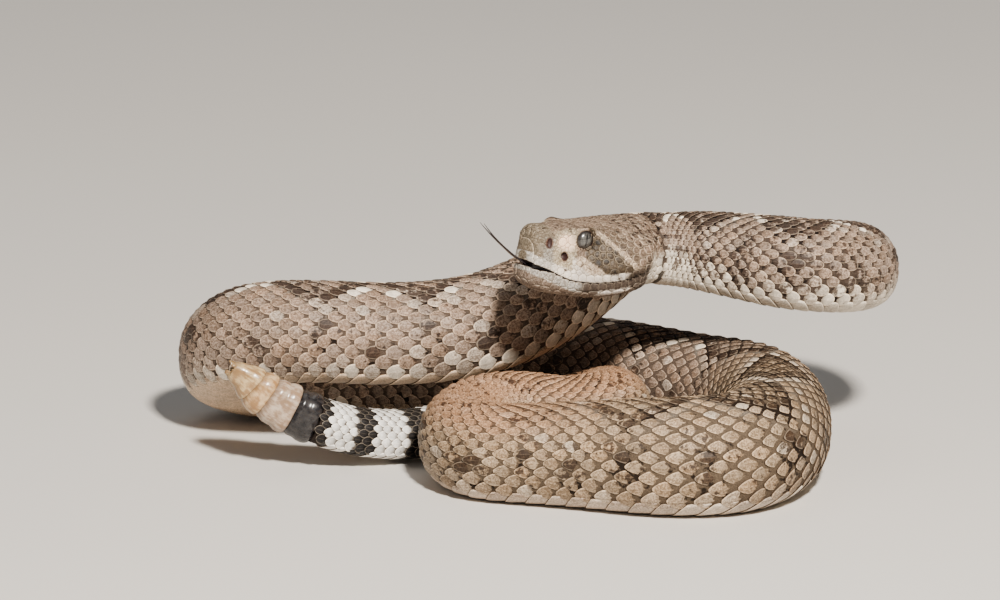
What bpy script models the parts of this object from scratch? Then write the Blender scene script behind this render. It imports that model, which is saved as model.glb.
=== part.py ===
"""Western diamondback rattlesnake, a still life-size model.

The body is one smooth route from the nape to the rattle, lofted in lengths that
meet face to face. It lies in a low coil, crosses over itself and raises the neck
in a loop, with the head looking to the left and a little forward.
Sizes are in millimetres: x to the right, y to the back, z up from the floor.
"""

import math

import bmesh
import bpy
import numpy as np
from mathutils import Matrix, Vector

for old in list(bpy.data.objects):
    bpy.data.objects.remove(old, do_unlink=True)
snake = bpy.data.collections.new("western_diamondback_rattlesnake")
cutters = bpy.data.collections.new("cutters")
bpy.context.scene.collection.children.link(snake)
bpy.context.scene.collection.children.link(cutters)

MM = 0.001

# Driving sizes of the whole animal
GAP = 0.3
FLOOR_SHIFT = (33.68, -60.74)
BELLY_REST = 0.93
BODY_WIDTH = 1.02
BELLY_DEPTH = 0.97
BELLY_SQUARENESS = 2.5
RING_STEP = 9.0
RING_TURN = math.radians(17.0)
BODY_SIDES = 24
HEAD_LENGTH = 49.0
HEAD_YAW = math.radians(38.0)
HEAD_PITCH = math.radians(13.0)
SNOUT_TIP = (-37.9, 29.0, 81.9)
JAW_HINGE = 39.5
EYE_RADIUS = 3.1
EYE_PLACE = (16.8, 8.9, 4.1)
RATTLE_GIRTH = 8.4

# How finely the pieces are cut
ROUTE_SAMPLES = 24
HEAD_CUTS = 2
SHARP_ANGLE = math.radians(50)
EYE_CUTS = (16, 10)
HOLE_CUTS = (10, 6)
RATTLE_SIDES = 20

# Colours of the pieces, with roughness
SKIN_GREY = (0.27, 0.21, 0.16)
SKIN_SAND = (0.34, 0.25, 0.17)
SKIN_HEAD = (0.30, 0.25, 0.20)
SKIN_JAW = (0.42, 0.35, 0.27)
SKIN_TAIL = (0.55, 0.54, 0.52)
EYE_GREY = (0.10, 0.10, 0.09)
EYE_GLOSS = 0.1
TONGUE_BLACK = (0.02, 0.015, 0.02)
HORN_DARK = (0.07, 0.06, 0.06)
HORN_CREAM = (0.62, 0.48, 0.33)
HORN_TAN = (0.52, 0.36, 0.20)


def on_floor(*places):
    """Route points that lie on the floor, from x, y and girth."""
    return [(x, y, BELLY_REST * girth, girth) for x, y, girth in places]


def bend(centre, radius, start, sweep, heights, girths):
    """Route points on an arc seen from above; the arc's end belongs to the next length."""
    points = []
    for i, (height, girth) in enumerate(zip(heights, girths)):
        angle = math.radians(start + sweep * i / len(heights))
        x = centre[0] + radius * math.cos(angle)
        y = centre[1] + radius * math.sin(angle)
        points.append((x, y, BELLY_REST * girth if height is None else height, girth))
    return points


# The route: each length of the body with its points, x, y, z and girth radius
NECK_LOOP = ((51.0, 86.0), 21.0)
LEFT_BEND = ((-113.5, 99.0), 23.0)
FRONT_BEND = ((-37.0, 31.0), 20.0)
INNER_BEND = ((-24.0, 65.2), 14.4)
FLAT = (None, None)
LENGTHS = [
    ("neck_front", [(0.0, 58.6, 72.4, 12.1), (4.8, 62.3, 71.8, 12.3), (12.0, 65.4, 70.9, 12.8),
                    (20.1, 66.5, 70.1, 13.6), (36.7, 66.0, 68.0, 15.0)]),
    ("neck_loop_near", bend(*NECK_LOOP, -90, 90, (66.2, 63.4), (15.8, 15.6))),
    ("neck_loop_far", bend(*NECK_LOOP, 0, 90, (60.3, 58.4), (15.0, 14.2))),
    ("neck_back", [(51.0, 107.0, 57.8, 13.5), (34.5, 107.5, 58.6, 12.9),
                   (14.3, 105.5, 60.8, 12.4), (-1.9, 101.0, 62.2, 12.7)]),
    ("torso_rise", [(-16.1, 95.0, 57.1, 15.0), (-29.5, 88.0, 50.2, 16.6), (-42.9, 82.0, 44.8, 17.2)]),
    ("torso_left", [(-59.5, 78.0, 41.0, 17.4), (-79.5, 76.0, 39.5, 17.5), (-97.0, 75.7, 39.9, 17.5)]),
    ("torso_left_bend_upper", bend(*LEFT_BEND, -90, -90, (40.2, 36.8), (17.5, 17.7))),
    ("torso_left_bend_lower", bend(*LEFT_BEND, -180, -90, (26.6, 18.4), (17.8, 18.0))),
    ("torso_under", on_floor((-112, 122, 18.0), (-85, 126, 18.2), (-40, 121, 18.4))),
    ("torso_ring_back", on_floor((-7, 111, 18.3), (20, 92.0, 18.3))),
    ("torso_ring_side", on_floor((38.5, 71, 19.3), (44, 48, 19.2), (41.5, 21, 19.6))),
    ("torso_ring_front", on_floor((29, 0.5, 20.0), (8, -2.5, 19.6))),
    ("torso_front", on_floor((-13, 4.0, 18.3))),
    ("torso_front_bend_near", bend(*FRONT_BEND, -90, -90, FLAT, (16.8, 16.2))),
    ("torso_front_bend_far", bend(*FRONT_BEND, -180, -90, (15.8, 16.9), (16.3, 16.3))),
    ("torso_inner", [(-37, 51.0, 16.8, 15.8)]),
    ("torso_inner_bend_near", bend(*INNER_BEND, -90, 90, (16.4, 17.2), (14.9, 14.5))),
    ("torso_inner_bend_far", bend(*INNER_BEND, 0, 90, (17.0, 14.5), (14.0, 13.2))),
    ("torso_back", [(-24, 79.6, 11.8, 12.2), (-40, 79.6, 10.1, 10.8)]),
    ("tail", [(-55.5, 73.6, 9.0, 9.6), (-76.0, 59.0, 9.4, 8.8), (-94.6, 51.5, 12.4, 8.5)]),
    ("rattle", [(-107.5, 48.5, 16.9, RATTLE_GIRTH), (-115.8, 47.3, 20.9, 8.3), (-124.0, 46.3, 26.0, 7.8),
                (-129.4, 45.6, 31.0, 6.8), (-135.6, 45.0, 35.6, 4.5)]),
]

# Profiles of the head, as distance behind the snout tip and size
MOUTH_HEIGHT = ((0, -5.2), (0.8, -5.8), (5.4, -7.1), (14.8, -9.6), (19, -9.5), (24.7, -8.5),
                (31.9, -6.4), (36.3, -4.4), (40, -2.4), (49, 0.0))
LIP_WIDTH = ((0, 2.6), (0.5, 4.2), (1.4, 5.6), (3, 6.9), (6, 8.1), (10, 9.3), (14.8, 11.0), (19, 12.8),
             (24.7, 15.5), (31.9, 17.7), (36, 18.1), (40, 17.3), (44, 15.2), (49, 12.2))
CHEEK_WIDTH = ((0, 2.7), (0.5, 4.3), (1.4, 5.6), (3, 6.9), (6, 8.2), (10, 9.1), (14.8, 11.2), (19, 13.6),
               (24.7, 16.7), (31.9, 18.8), (36, 18.9), (40, 17.8), (44, 15.6), (49, 12.5))
LOREAL_WIDTH = ((0, 2.6), (0.5, 4.1), (1.4, 5.2), (3, 6.2), (6, 7.3), (10, 8.0), (14, 9.3), (16.8, 9.7),
                (19.5, 11.4), (22, 13.4), (26, 15.4), (31.9, 17.0), (36, 17.0), (40, 16.0), (49, 12.2))
BROW_WIDTH = ((0, 2.6), (0.5, 4.0), (1.4, 5.3), (3, 6.2), (6, 7.0), (10, 8.0), (14, 9.6), (17, 10.8),
              (20, 10.9), (23, 11.1), (28, 11.9), (34, 12.2), (40, 11.0), (49, 8.8))
BROW_HEIGHT = ((0, 1.4), (0.5, 2.2), (1.4, 3.0), (3.6, 3.8), (8, 4.8), (12.9, 6.1), (15.4, 7.4), (17.6, 8.0),
               (20.5, 7.3), (24, 7.0), (32, 7.7), (40, 8.6), (49, 9.2))
CROWN_HEIGHT = ((0, 3.2), (0.5, 4.8), (1.4, 6.0), (3, 6.7), (8, 7.0), (13, 7.6), (17.8, 8.2), (25, 9.6),
                (33.6, 11.0), (40, 12.1), (45.4, 13.0), (49, 13.6))
CHIN_HEIGHT = ((0, -11.6), (0.5, -12.2), (1.4, -13.0), (3.3, -14.0), (7.4, -15.3), (15.9, -15.7),
               (25.1, -15.2), (32.1, -13.7), (39.3, -12.0), (44.7, -10.9), (49, -10.6))
JAW_WIDTH = ((0, 2.8), (0.5, 4.0), (1.4, 5.3), (3, 6.5), (6, 7.8), (10, 9.1), (14.8, 10.8), (19, 12.5),
             (24.7, 15.1), (31.9, 17.2), (36, 17.6), (40, 16.8), (44, 15.0), (49, 12.2))
MOUTH_OPENING = ((0, 1.9), (3, 1.5), (6, 0.7), (9, 0.4), (36, 0.4), (38, 0.6), (49, 3.0))
LIP_FOLD = ((0, 0.6), (3, 1.0), (34, 1.0), (37, 0.6), (40, 0.0), (49, 0.0))
HEAD_STATIONS = (0, 0.5, 1.4, 3, 5, 7.6, 10.3, 12.6, 14.8, 16.8, 19, 21.5, 24.7, 28.2, 31.9, 35, 37.5,
                 40, 42.5, 45.5)

# Heat pits and nostrils: distance behind the snout tip, height and half size, then depth
PIT_PLACE = (10.3, -2.2, 1.25)
PIT_DEPTH = 2.2
NOSTRIL_PLACE = (4.6, 1.5, 0.85)
NOSTRIL_DEPTH = 1.4
HOLE_TALLNESS = 1.15
HOLE_INSET = 0.2

# The tongue's arch ahead of the snout tip, and its half widths and half thicknesses
TONGUE_SIDES = 8
TONGUE_ARCH = ((1.0, -5.9), (4.0, -4.7), (8.0, -2.6), (11.5, -0.6))
TONGUE_SIZES = ((1.0, 0.4), (1.1, 0.42), (1.15, 0.45), (1.1, 0.45), (1.05, 0.42), (0.95, 0.4))
TINE_ARCH = ((9.8, 0.42, -1.6), (11.5, 0.55, -0.6), (14.5, 0.95, 1.3), (17.2, 1.5, 3.2), (19.6, 2.1, 5.0))
TINE_SIZES = ((0.4, 0.34), (0.42, 0.36), (0.38, 0.34), (0.32, 0.3), (0.14, 0.14))

# The rattle's segments: share of its length, girth at either end and colour
RATTLE_SEGMENTS = (("rattle_base", 0.245, 8.5, 8.3, HORN_DARK),
                   ("rattle_second", 0.285, 8.6, 7.6, HORN_CREAM),
                   ("rattle_third", 0.175, 7.6, 6.9, HORN_TAN),
                   ("rattle_tip", 0.295, 6.6, 3.0, HORN_TAN))
RATTLE_LOBE = ((0.0, 0.90), (0.18, 0.98), (0.45, 1.04), (0.75, 1.0), (1.0, 0.88))
RATTLE_WIDTH = 0.80
RATTLE_GROOVE = 0.10


def profile(knots, at):
    """Smooth value of a profile at one place, with slopes that don't overshoot."""
    xs = [k[0] for k in knots]
    ys = [k[1] for k in knots]
    at = min(max(at, xs[0]), xs[-1])
    i = min(max(int(np.searchsorted(xs, at, side="right")) - 1, 0), len(xs) - 2)
    slopes = [(ys[j + 1] - ys[j]) / (xs[j + 1] - xs[j]) for j in range(len(xs) - 1)]

    def tangent(j):
        if j == 0 or j == len(xs) - 1:
            return slopes[min(j, len(slopes) - 1)]
        before, after = slopes[j - 1], slopes[j]
        return 0.0 if before * after <= 0 else 2 * before * after / (before + after)

    step = xs[i + 1] - xs[i]
    u = (at - xs[i]) / step
    start = ys[i] * (1 + 2 * u) * (1 - u) ** 2 + step * tangent(i) * u * (1 - u) ** 2
    end = ys[i + 1] * (3 - 2 * u) * u ** 2 + step * tangent(i + 1) * (u - 1) * u ** 2
    return start + end


def smooth_route(points, samples):
    """Natural cubic spline through the points, spaced by the root of their distance."""
    points = np.array(points, float)
    hops = np.linalg.norm(np.diff(points[:, :3], axis=0), axis=1) ** 0.5
    count = len(points)
    matrix = np.eye(count)
    right = np.zeros_like(points)
    for i in range(1, count - 1):
        matrix[i, i - 1:i + 2] = (hops[i - 1], 2 * (hops[i - 1] + hops[i]), hops[i])
        right[i] = 6 * ((points[i + 1] - points[i]) / hops[i] - (points[i] - points[i - 1]) / hops[i - 1])
    bends = np.linalg.solve(matrix, right)
    rows = []
    for i, hop in enumerate(hops):
        for k in range(samples):
            a = hop * k / samples
            b = hop - a
            row = (bends[i] * b ** 3 + bends[i + 1] * a ** 3) / (6 * hop)
            row = row + (points[i] / hop - bends[i] * hop / 6) * b
            rows.append(row + (points[i + 1] / hop - bends[i + 1] * hop / 6) * a)
    rows.append(points[-1])
    return np.array(rows)


ROUTE = smooth_route([point for _, points in LENGTHS for point in points], ROUTE_SAMPLES)
TRAVEL = np.concatenate([[0.0], np.cumsum(np.linalg.norm(np.diff(ROUTE[:, :3], axis=0), axis=1))])
HEADING = np.gradient(ROUTE[:, :3], TRAVEL, axis=0)


def frame_at(travel):
    """Place, girth, direction towards the tail, left side and back of the body."""
    place = [float(np.interp(travel, TRAVEL, ROUTE[:, k])) for k in range(4)]
    along = Vector([float(np.interp(travel, TRAVEL, HEADING[:, k])) for k in range(3)]).normalized()
    left = along.cross(Vector((0, 0, 1))).normalized()
    return Vector(place[:3]), place[3], along, left, left.cross(along)


def body_ring(travel, sides, shift=0.0):
    """One ring of the body, from the belly's middle up the left side and round."""
    centre, girth, along, left, back = frame_at(travel)
    ring = []
    for i in range(sides):
        angle = 2 * math.pi * i / sides
        across, down = math.sin(angle), math.cos(angle)
        wide = BODY_WIDTH * girth * across
        high = -girth * down
        if down > 0:
            power = 2 / BELLY_SQUARENESS
            wide = BODY_WIDTH * girth * math.copysign(abs(across) ** power, across)
            high = -BELLY_DEPTH * girth * down ** power
        point = centre + along * shift + left * wide + back * high
        point.z = max(point.z, 0.0)
        ring.append(point)
    return ring


def new_finish(name, colour, roughness):
    """A plain material in the piece's own colour."""
    material = bpy.data.materials.new(name)
    material.use_nodes = True
    shader = material.node_tree.nodes["Principled BSDF"]
    shader.inputs["Base Color"].default_value = (*colour, 1)
    shader.inputs["Roughness"].default_value = roughness
    shader.inputs["Metallic"].default_value = 0.0
    return material


def new_object(name, vertices, faces, colour, roughness):
    """A mesh object in metres, shaded smooth, with its own material."""
    mesh = bpy.data.meshes.new(name)
    shift = Vector((*FLOOR_SHIFT, 0))
    mesh.from_pydata([(Vector(v) + shift) * MM for v in vertices], [], faces)
    mesh.update()
    mesh.shade_smooth()
    mesh.set_sharp_from_angle(angle=SHARP_ANGLE)
    mesh.materials.append(new_finish(name, colour, roughness))
    piece = bpy.data.objects.new(name, mesh)
    snake.objects.link(piece)
    return piece


def loft(name, rings, colour, roughness=0.6):
    """A closed body through rings of equal count, with fanned ends."""
    sides = len(rings[0])
    vertices = [point for ring in rings for point in ring]
    faces = []
    for r in range(len(rings) - 1):
        for i in range(sides):
            j = (i + 1) % sides
            a, b = r * sides, (r + 1) * sides
            faces.append((a + i, b + i, b + j, a + j))
    for ring_start, backwards in ((0, False), (len(rings) * sides - sides, True)):
        hub = len(vertices)
        ring = vertices[ring_start:ring_start + sides]
        vertices.append(sum((Vector(p) for p in ring), Vector()) / sides)
        for i in range(sides):
            j = (i + 1) % sides
            edge = (ring_start + j, ring_start + i) if backwards else (ring_start + i, ring_start + j)
            faces.append((*edge, hub))
    return new_object(name, vertices, faces, colour, roughness)


def make_length(name, start, end, colour):
    """One length of the body between two places along the route."""
    inside = [s for s in TRAVEL if start < s < end]
    turned = 0.0
    for before, after in zip(inside, inside[1:]):
        turned += frame_at(before)[2].angle(frame_at(after)[2])
    count = max(math.ceil((end - start) / RING_STEP), math.ceil(turned / RING_TURN), 2)
    rings = [body_ring(start, BODY_SIDES, GAP / 2)]
    for k in range(1, count):
        rings.append(body_ring(start + (end - start) * k / count, BODY_SIDES))
    rings.append(body_ring(end, BODY_SIDES, -GAP / 2))
    return loft(name, rings, colour)


def head_axes():
    """Forward, left and up directions of the head."""
    flat = math.cos(HEAD_PITCH)
    forward = Vector((-math.cos(HEAD_YAW) * flat, -math.sin(HEAD_YAW) * flat, math.sin(HEAD_PITCH)))
    left = Vector((math.sin(HEAD_YAW), -math.cos(HEAD_YAW), 0))
    return forward, left, forward.cross(left)


def head_point(behind, aside, height):
    """A place on the head, from its distance behind the snout, to the left and up."""
    forward, left, up = head_axes()
    return Vector(SNOUT_TIP) - forward * behind + left * aside + up * height


def curve_through(points):
    """Smooth curve through section points, that meets its mirror image squarely at the ends."""
    first = (-points[1][0], points[1][1]) if abs(points[0][0]) < 1e-6 else points[0]
    last = (-points[-2][0], points[-2][1]) if abs(points[-1][0]) < 1e-6 else points[-1]
    chain = [np.array(p, float) for p in (first, *points, last)]
    out = []
    for i in range(1, len(chain) - 2):
        p0, p1, p2, p3 = chain[i - 1:i + 3]
        for k in range(HEAD_CUTS):
            u = k / HEAD_CUTS
            out.append(0.5 * (2 * p1 + (p2 - p0) * u + (2 * p0 - 5 * p1 + 4 * p2 - p3) * u ** 2
                              + (3 * p1 - p0 - 3 * p2 + p3) * u ** 3))
    out.append(chain[-2])
    return out


def head_section(behind):
    """Left half of one section of the head, from the chin up to the crown."""
    mouth = profile(MOUTH_HEIGHT, behind)
    lip, cheek = profile(LIP_WIDTH, behind), profile(CHEEK_WIDTH, behind)
    loreal, brow = profile(LOREAL_WIDTH, behind), profile(BROW_WIDTH, behind)
    edge, crown = profile(BROW_HEIGHT, behind), profile(CROWN_HEIGHT, behind)
    chin, jaw = profile(CHIN_HEIGHT, behind), profile(JAW_WIDTH, behind)
    opening, fold = profile(MOUTH_OPENING, behind), profile(LIP_FOLD, behind)
    low_lip = mouth - opening
    depth = low_lip - chin
    lower = curve_through([(0, chin), (0.6 * jaw, chin + 0.08 * depth), (0.93 * jaw, chin + 0.45 * depth),
                           (jaw, low_lip)])
    groove = [(min(lip, jaw) - fold, mouth - opening / 2)]
    upper = curve_through([(lip, mouth), (cheek, mouth + 0.3 * (edge - mouth)),
                           (loreal, mouth + 0.74 * (edge - mouth)), (brow, edge),
                           (0.6 * brow, edge + 0.8 * (crown - edge)), (0, crown)])
    return lower + groove + upper


def make_whole_head():
    """The head and lower jaw in one closed body, its last ring the neck's first."""
    rings = []
    forward = head_axes()[0]
    for behind in HEAD_STATIONS:
        half = head_section(behind)
        ring = [head_point(behind, x, z) for x, z in half]
        ring += [head_point(behind, -x, z) for x, z in half[-2:0:-1]]
        neck = body_ring(0.0, len(ring))
        blend = profile(((0, 0), (39, 0), (HEAD_LENGTH, 1)), behind)
        slide = HEAD_LENGTH - behind
        rings.append([a.lerp(b + forward * slide, blend) for a, b in zip(ring, neck)])
    rings.append(body_ring(0.0, len(rings[0]), -GAP / 2))
    return loft("head", rings, SKIN_HEAD)


def slab(name, top, end, reach=30.0):
    """A cutter that fills all below a curve along the head, as far back as its end."""
    places = [p for p in HEAD_STATIONS if 0 < p < end]
    outline = [(-8.0, top(0.0))] + [(0.0, top(0.0))] + [(p, top(p)) for p in places] + [(end, top(end))]
    outline += [(end, -reach), (-8.0, -reach)]
    count = len(outline)
    vertices = [head_point(b, side * reach, z) for side in (-1, 1) for b, z in outline]
    faces = [tuple(range(count)), tuple(range(2 * count - 1, count - 1, -1))]
    faces += [(i, i + count, (i + 1) % count + count, (i + 1) % count) for i in range(count)]
    return cutter(name, vertices, faces)


def cutter(name, vertices, faces):
    """A mesh that only cuts others, with its faces turned outwards."""
    piece = new_object(name, vertices, faces, SKIN_HEAD, 0.5)
    snake.objects.unlink(piece)
    cutters.objects.link(piece)
    return piece


def ball(name, centre, radii, cuts, collection):
    """An ellipsoid turned to the head, from a sphere primitive; it may be an eye or a cutter."""
    bpy.ops.mesh.primitive_uv_sphere_add(segments=cuts[0], ring_count=cuts[1], radius=1.0)
    piece = bpy.context.object
    piece.name = name
    forward, left, up = head_axes()
    shift = Vector((*FLOOR_SHIFT, 0))
    axes = Matrix((forward, -up, left)).transposed().to_4x4()
    scale = Matrix.Diagonal((*[r * MM for r in radii], 1))
    place = Matrix.Translation((centre + shift) * MM)
    piece.data.transform(place @ axes @ scale)
    piece.data.shade_smooth()
    piece.data.materials.append(new_finish(name, EYE_GREY, EYE_GLOSS))
    for old in list(piece.users_collection):
        old.objects.unlink(piece)
    collection.objects.link(piece)
    return piece


def boolean(piece, tool, operation):
    """Cut or keep part of a piece with a cutter, applied when the piece is settled."""
    modifier = piece.modifiers.new(tool.name, "BOOLEAN")
    modifier.operation = operation
    modifier.solver = "EXACT"
    modifier.object = tool


def make_head():
    """Skull, lower jaw and eyes, with sockets, heat pits and nostrils cut in."""
    head = make_whole_head()
    jaw = head.copy()
    jaw.data = head.data.copy()
    jaw.name = "lower_jaw"
    jaw.data.name = "lower_jaw"
    snake.objects.link(jaw)
    skin = jaw.data.materials[0].copy()
    skin.name = "lower_jaw"
    skin.node_tree.nodes["Principled BSDF"].inputs["Base Color"].default_value = (*SKIN_JAW, 1)
    jaw.data.materials[0] = skin

    def palate(behind):
        return profile(MOUTH_HEIGHT, behind)

    def mouth_floor(behind):
        return palate(behind) - max(profile(MOUTH_OPENING, behind), GAP)

    boolean(head, slab("jaw_space", palate, JAW_HINGE), "DIFFERENCE")
    boolean(jaw, slab("jaw_block", mouth_floor, JAW_HINGE - GAP), "INTERSECT")
    for side, word in ((1, "left"), (-1, "right")):
        behind, aside, height = EYE_PLACE
        centre = head_point(behind, side * aside, height)
        ball("eye_" + word, centre, (EYE_RADIUS,) * 3, EYE_CUTS, snake)
        socket = ball("socket_" + word, centre, (EYE_RADIUS + GAP,) * 3, EYE_CUTS, cutters)
        boolean(head, socket, "DIFFERENCE")
        holes = (("pit_", PIT_PLACE, PIT_DEPTH), ("nostril_", NOSTRIL_PLACE, NOSTRIL_DEPTH))
        for label, (back, up, size), deep in holes:
            surface = profile(CHEEK_WIDTH, back) - HOLE_INSET
            centre = head_point(back, side * surface, up)
            hole = ball(label + word, centre, (size, size * HOLE_TALLNESS, deep), HOLE_CUTS, cutters)
            boolean(head, hole, "DIFFERENCE")
    settle(head)
    settle(jaw)
    for piece in list(cutters.objects):
        bpy.data.objects.remove(piece, do_unlink=True)


def tube(name, path, across, sizes):
    """A closed tube with flattened sections along a path, as loose geometry for fusing."""
    rings = []
    for i, (place, (wide, thick)) in enumerate(zip(path, sizes)):
        ahead = path[min(i + 1, len(path) - 1)] - path[max(i - 1, 0)]
        up = across.cross(ahead).normalized()
        ring = []
        for k in range(TONGUE_SIDES):
            angle = 2 * math.pi * k / TONGUE_SIDES
            ring.append(place + across * wide * math.sin(angle) - up * thick * math.cos(angle))
        rings.append(ring)
    return loft(name, rings, TONGUE_BLACK, 0.3)


def settle(piece):
    """Apply the piece's cuts and keep only its largest closed surface."""
    graph = bpy.context.evaluated_depsgraph_get()
    mesh = bpy.data.meshes.new_from_object(piece.evaluated_get(graph), depsgraph=graph)
    piece.modifiers.clear()
    piece.data = mesh
    shape = bmesh.new()
    shape.from_mesh(mesh)
    left = set(shape.verts)
    groups = []
    while left:
        seed = left.pop()
        group, edge = {seed}, [seed]
        while edge:
            for link in edge.pop().link_edges:
                for vertex in link.verts:
                    if vertex in left:
                        left.discard(vertex)
                        group.add(vertex)
                        edge.append(vertex)
        groups.append(group)
    groups.sort(key=len)
    for group in groups[:-1]:
        bmesh.ops.delete(shape, geom=list(group), context="VERTS")
    shape.to_mesh(mesh)
    shape.free()
    mesh.name = piece.name


def fuse(pieces):
    """Join closed pieces into the first one with a single Boolean union."""
    group = bpy.data.collections.new("fused")
    for piece in pieces[1:]:
        snake.objects.unlink(piece)
        group.objects.link(piece)
    modifier = pieces[0].modifiers.new("fuse", "BOOLEAN")
    modifier.operation = "UNION"
    modifier.solver = "EXACT"
    modifier.operand_type = "COLLECTION"
    modifier.collection = group
    settle(pieces[0])
    for piece in pieces[1:]:
        bpy.data.objects.remove(piece, do_unlink=True)
    bpy.data.collections.remove(group)


def make_tongue():
    """A flat black tongue from between the lips, lifted forward and forked at its end."""
    across = head_axes()[1]
    low = [profile(MOUTH_HEIGHT, b) - profile(MOUTH_OPENING, b) / 2 for b in (3.6, 1.2)]
    stem = [head_point(3.6, 0, low[0]), head_point(1.2, 0, low[1])]
    stem += [head_point(-ahead, 0, height) for ahead, height in TONGUE_ARCH]
    pieces = [tube("tongue", stem, across, TONGUE_SIZES)]
    for side, word in ((1, "left"), (-1, "right")):
        tine = [head_point(-ahead, side * aside, height) for ahead, aside, height in TINE_ARCH]
        pieces.append(tube("tine_" + word, tine, across, TINE_SIZES))
    fuse(pieces)


def make_rattle(start, end):
    """Four horny segments, each a swollen lobe with a groove down either side."""
    travel = start
    for name, share, girth_in, girth_out, colour in RATTLE_SEGMENTS:
        length = (end - start) * share
        rings = []
        for i, (u, swell) in enumerate(RATTLE_LOBE):
            girth = (girth_in + (girth_out - girth_in) * u) * swell
            shift = GAP / 2 if i == 0 else (-GAP / 2 if i == len(RATTLE_LOBE) - 1 else 0.0)
            centre, _, along, left, back = frame_at(travel + length * u)
            ring = []
            for k in range(RATTLE_SIDES):
                angle = 2 * math.pi * k / RATTLE_SIDES
                pinch = 1 - RATTLE_GROOVE * abs(math.sin(angle)) ** 8
                wide = RATTLE_WIDTH * girth * pinch * math.sin(angle)
                ring.append(centre + along * shift + left * wide - back * girth * math.cos(angle))
            rings.append(ring)
        loft(name, rings, colour, 0.35)
        travel += length


def main():
    """Build every piece along the route, then the head and tongue."""
    place = 0
    starts = []
    for name, points in LENGTHS:
        starts.append((name, float(TRAVEL[place * ROUTE_SAMPLES])))
        place += len(points)
    starts.append(("end", float(TRAVEL[-1])))
    for (name, start), (_, end) in zip(starts, starts[1:]):
        if name == "rattle":
            make_rattle(start, end)
            continue
        colour = SKIN_TAIL if name == "tail" else SKIN_GREY
        if name.startswith(("torso_front", "torso_inner", "torso_ring_front")):
            colour = SKIN_SAND
        make_length(name, start, end, colour)
    make_head()
    make_tongue()


main()
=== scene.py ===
"""Looks of the western diamondback rattlesnake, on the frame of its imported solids.

Sizes are in millimetres from the snake's own floor point, as in the solids, and are
turned into the frame's metres when a mesh is made.
"""

import math

import bpy
import numpy as np
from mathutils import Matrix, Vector
from mathutils.bvhtree import BVHTree


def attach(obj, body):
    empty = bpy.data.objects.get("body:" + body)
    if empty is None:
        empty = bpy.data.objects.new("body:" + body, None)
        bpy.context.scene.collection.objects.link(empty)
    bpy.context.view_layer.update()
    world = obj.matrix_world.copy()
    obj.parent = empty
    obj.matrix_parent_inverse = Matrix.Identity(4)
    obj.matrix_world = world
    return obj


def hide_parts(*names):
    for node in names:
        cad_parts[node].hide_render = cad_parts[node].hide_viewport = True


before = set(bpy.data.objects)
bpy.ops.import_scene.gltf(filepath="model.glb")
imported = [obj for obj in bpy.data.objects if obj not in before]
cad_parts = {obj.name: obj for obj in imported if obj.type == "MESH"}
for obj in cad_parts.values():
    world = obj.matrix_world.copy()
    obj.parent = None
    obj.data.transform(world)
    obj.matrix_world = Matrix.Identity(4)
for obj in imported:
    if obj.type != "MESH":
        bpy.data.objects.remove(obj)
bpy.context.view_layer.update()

# Line of the body
# The backbone's own line: the neck loop, the crossing over the coil and the long turn on
# the floor. Every part of the coat is set out along it, by the distance from the nape.
MM = 0.001
FLOOR_SHIFT = np.array([33.68, -60.74, 0.0])
BELLY_REST = 0.93
BODY_WIDTH = 1.02
BELLY_DEPTH = 0.97
BELLY_SQUARENESS = 2.5
RATTLE_GIRTH = 8.4
PRESSED = 0.6


def on_floor(*places):
    """Line points that lie on the floor, from x, y and girth."""
    return [(x, y, BELLY_REST * girth, girth) for x, y, girth in places]


def bend(centre, radius, start, sweep, heights, girths):
    """Line points on an arc seen from above; the arc's end belongs to the next length."""
    points = []
    for i, (height, girth) in enumerate(zip(heights, girths)):
        angle = math.radians(start + sweep * i / len(heights))
        x = centre[0] + radius * math.cos(angle)
        y = centre[1] + radius * math.sin(angle)
        points.append((x, y, BELLY_REST * girth if height is None else height, girth))
    return points


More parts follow.
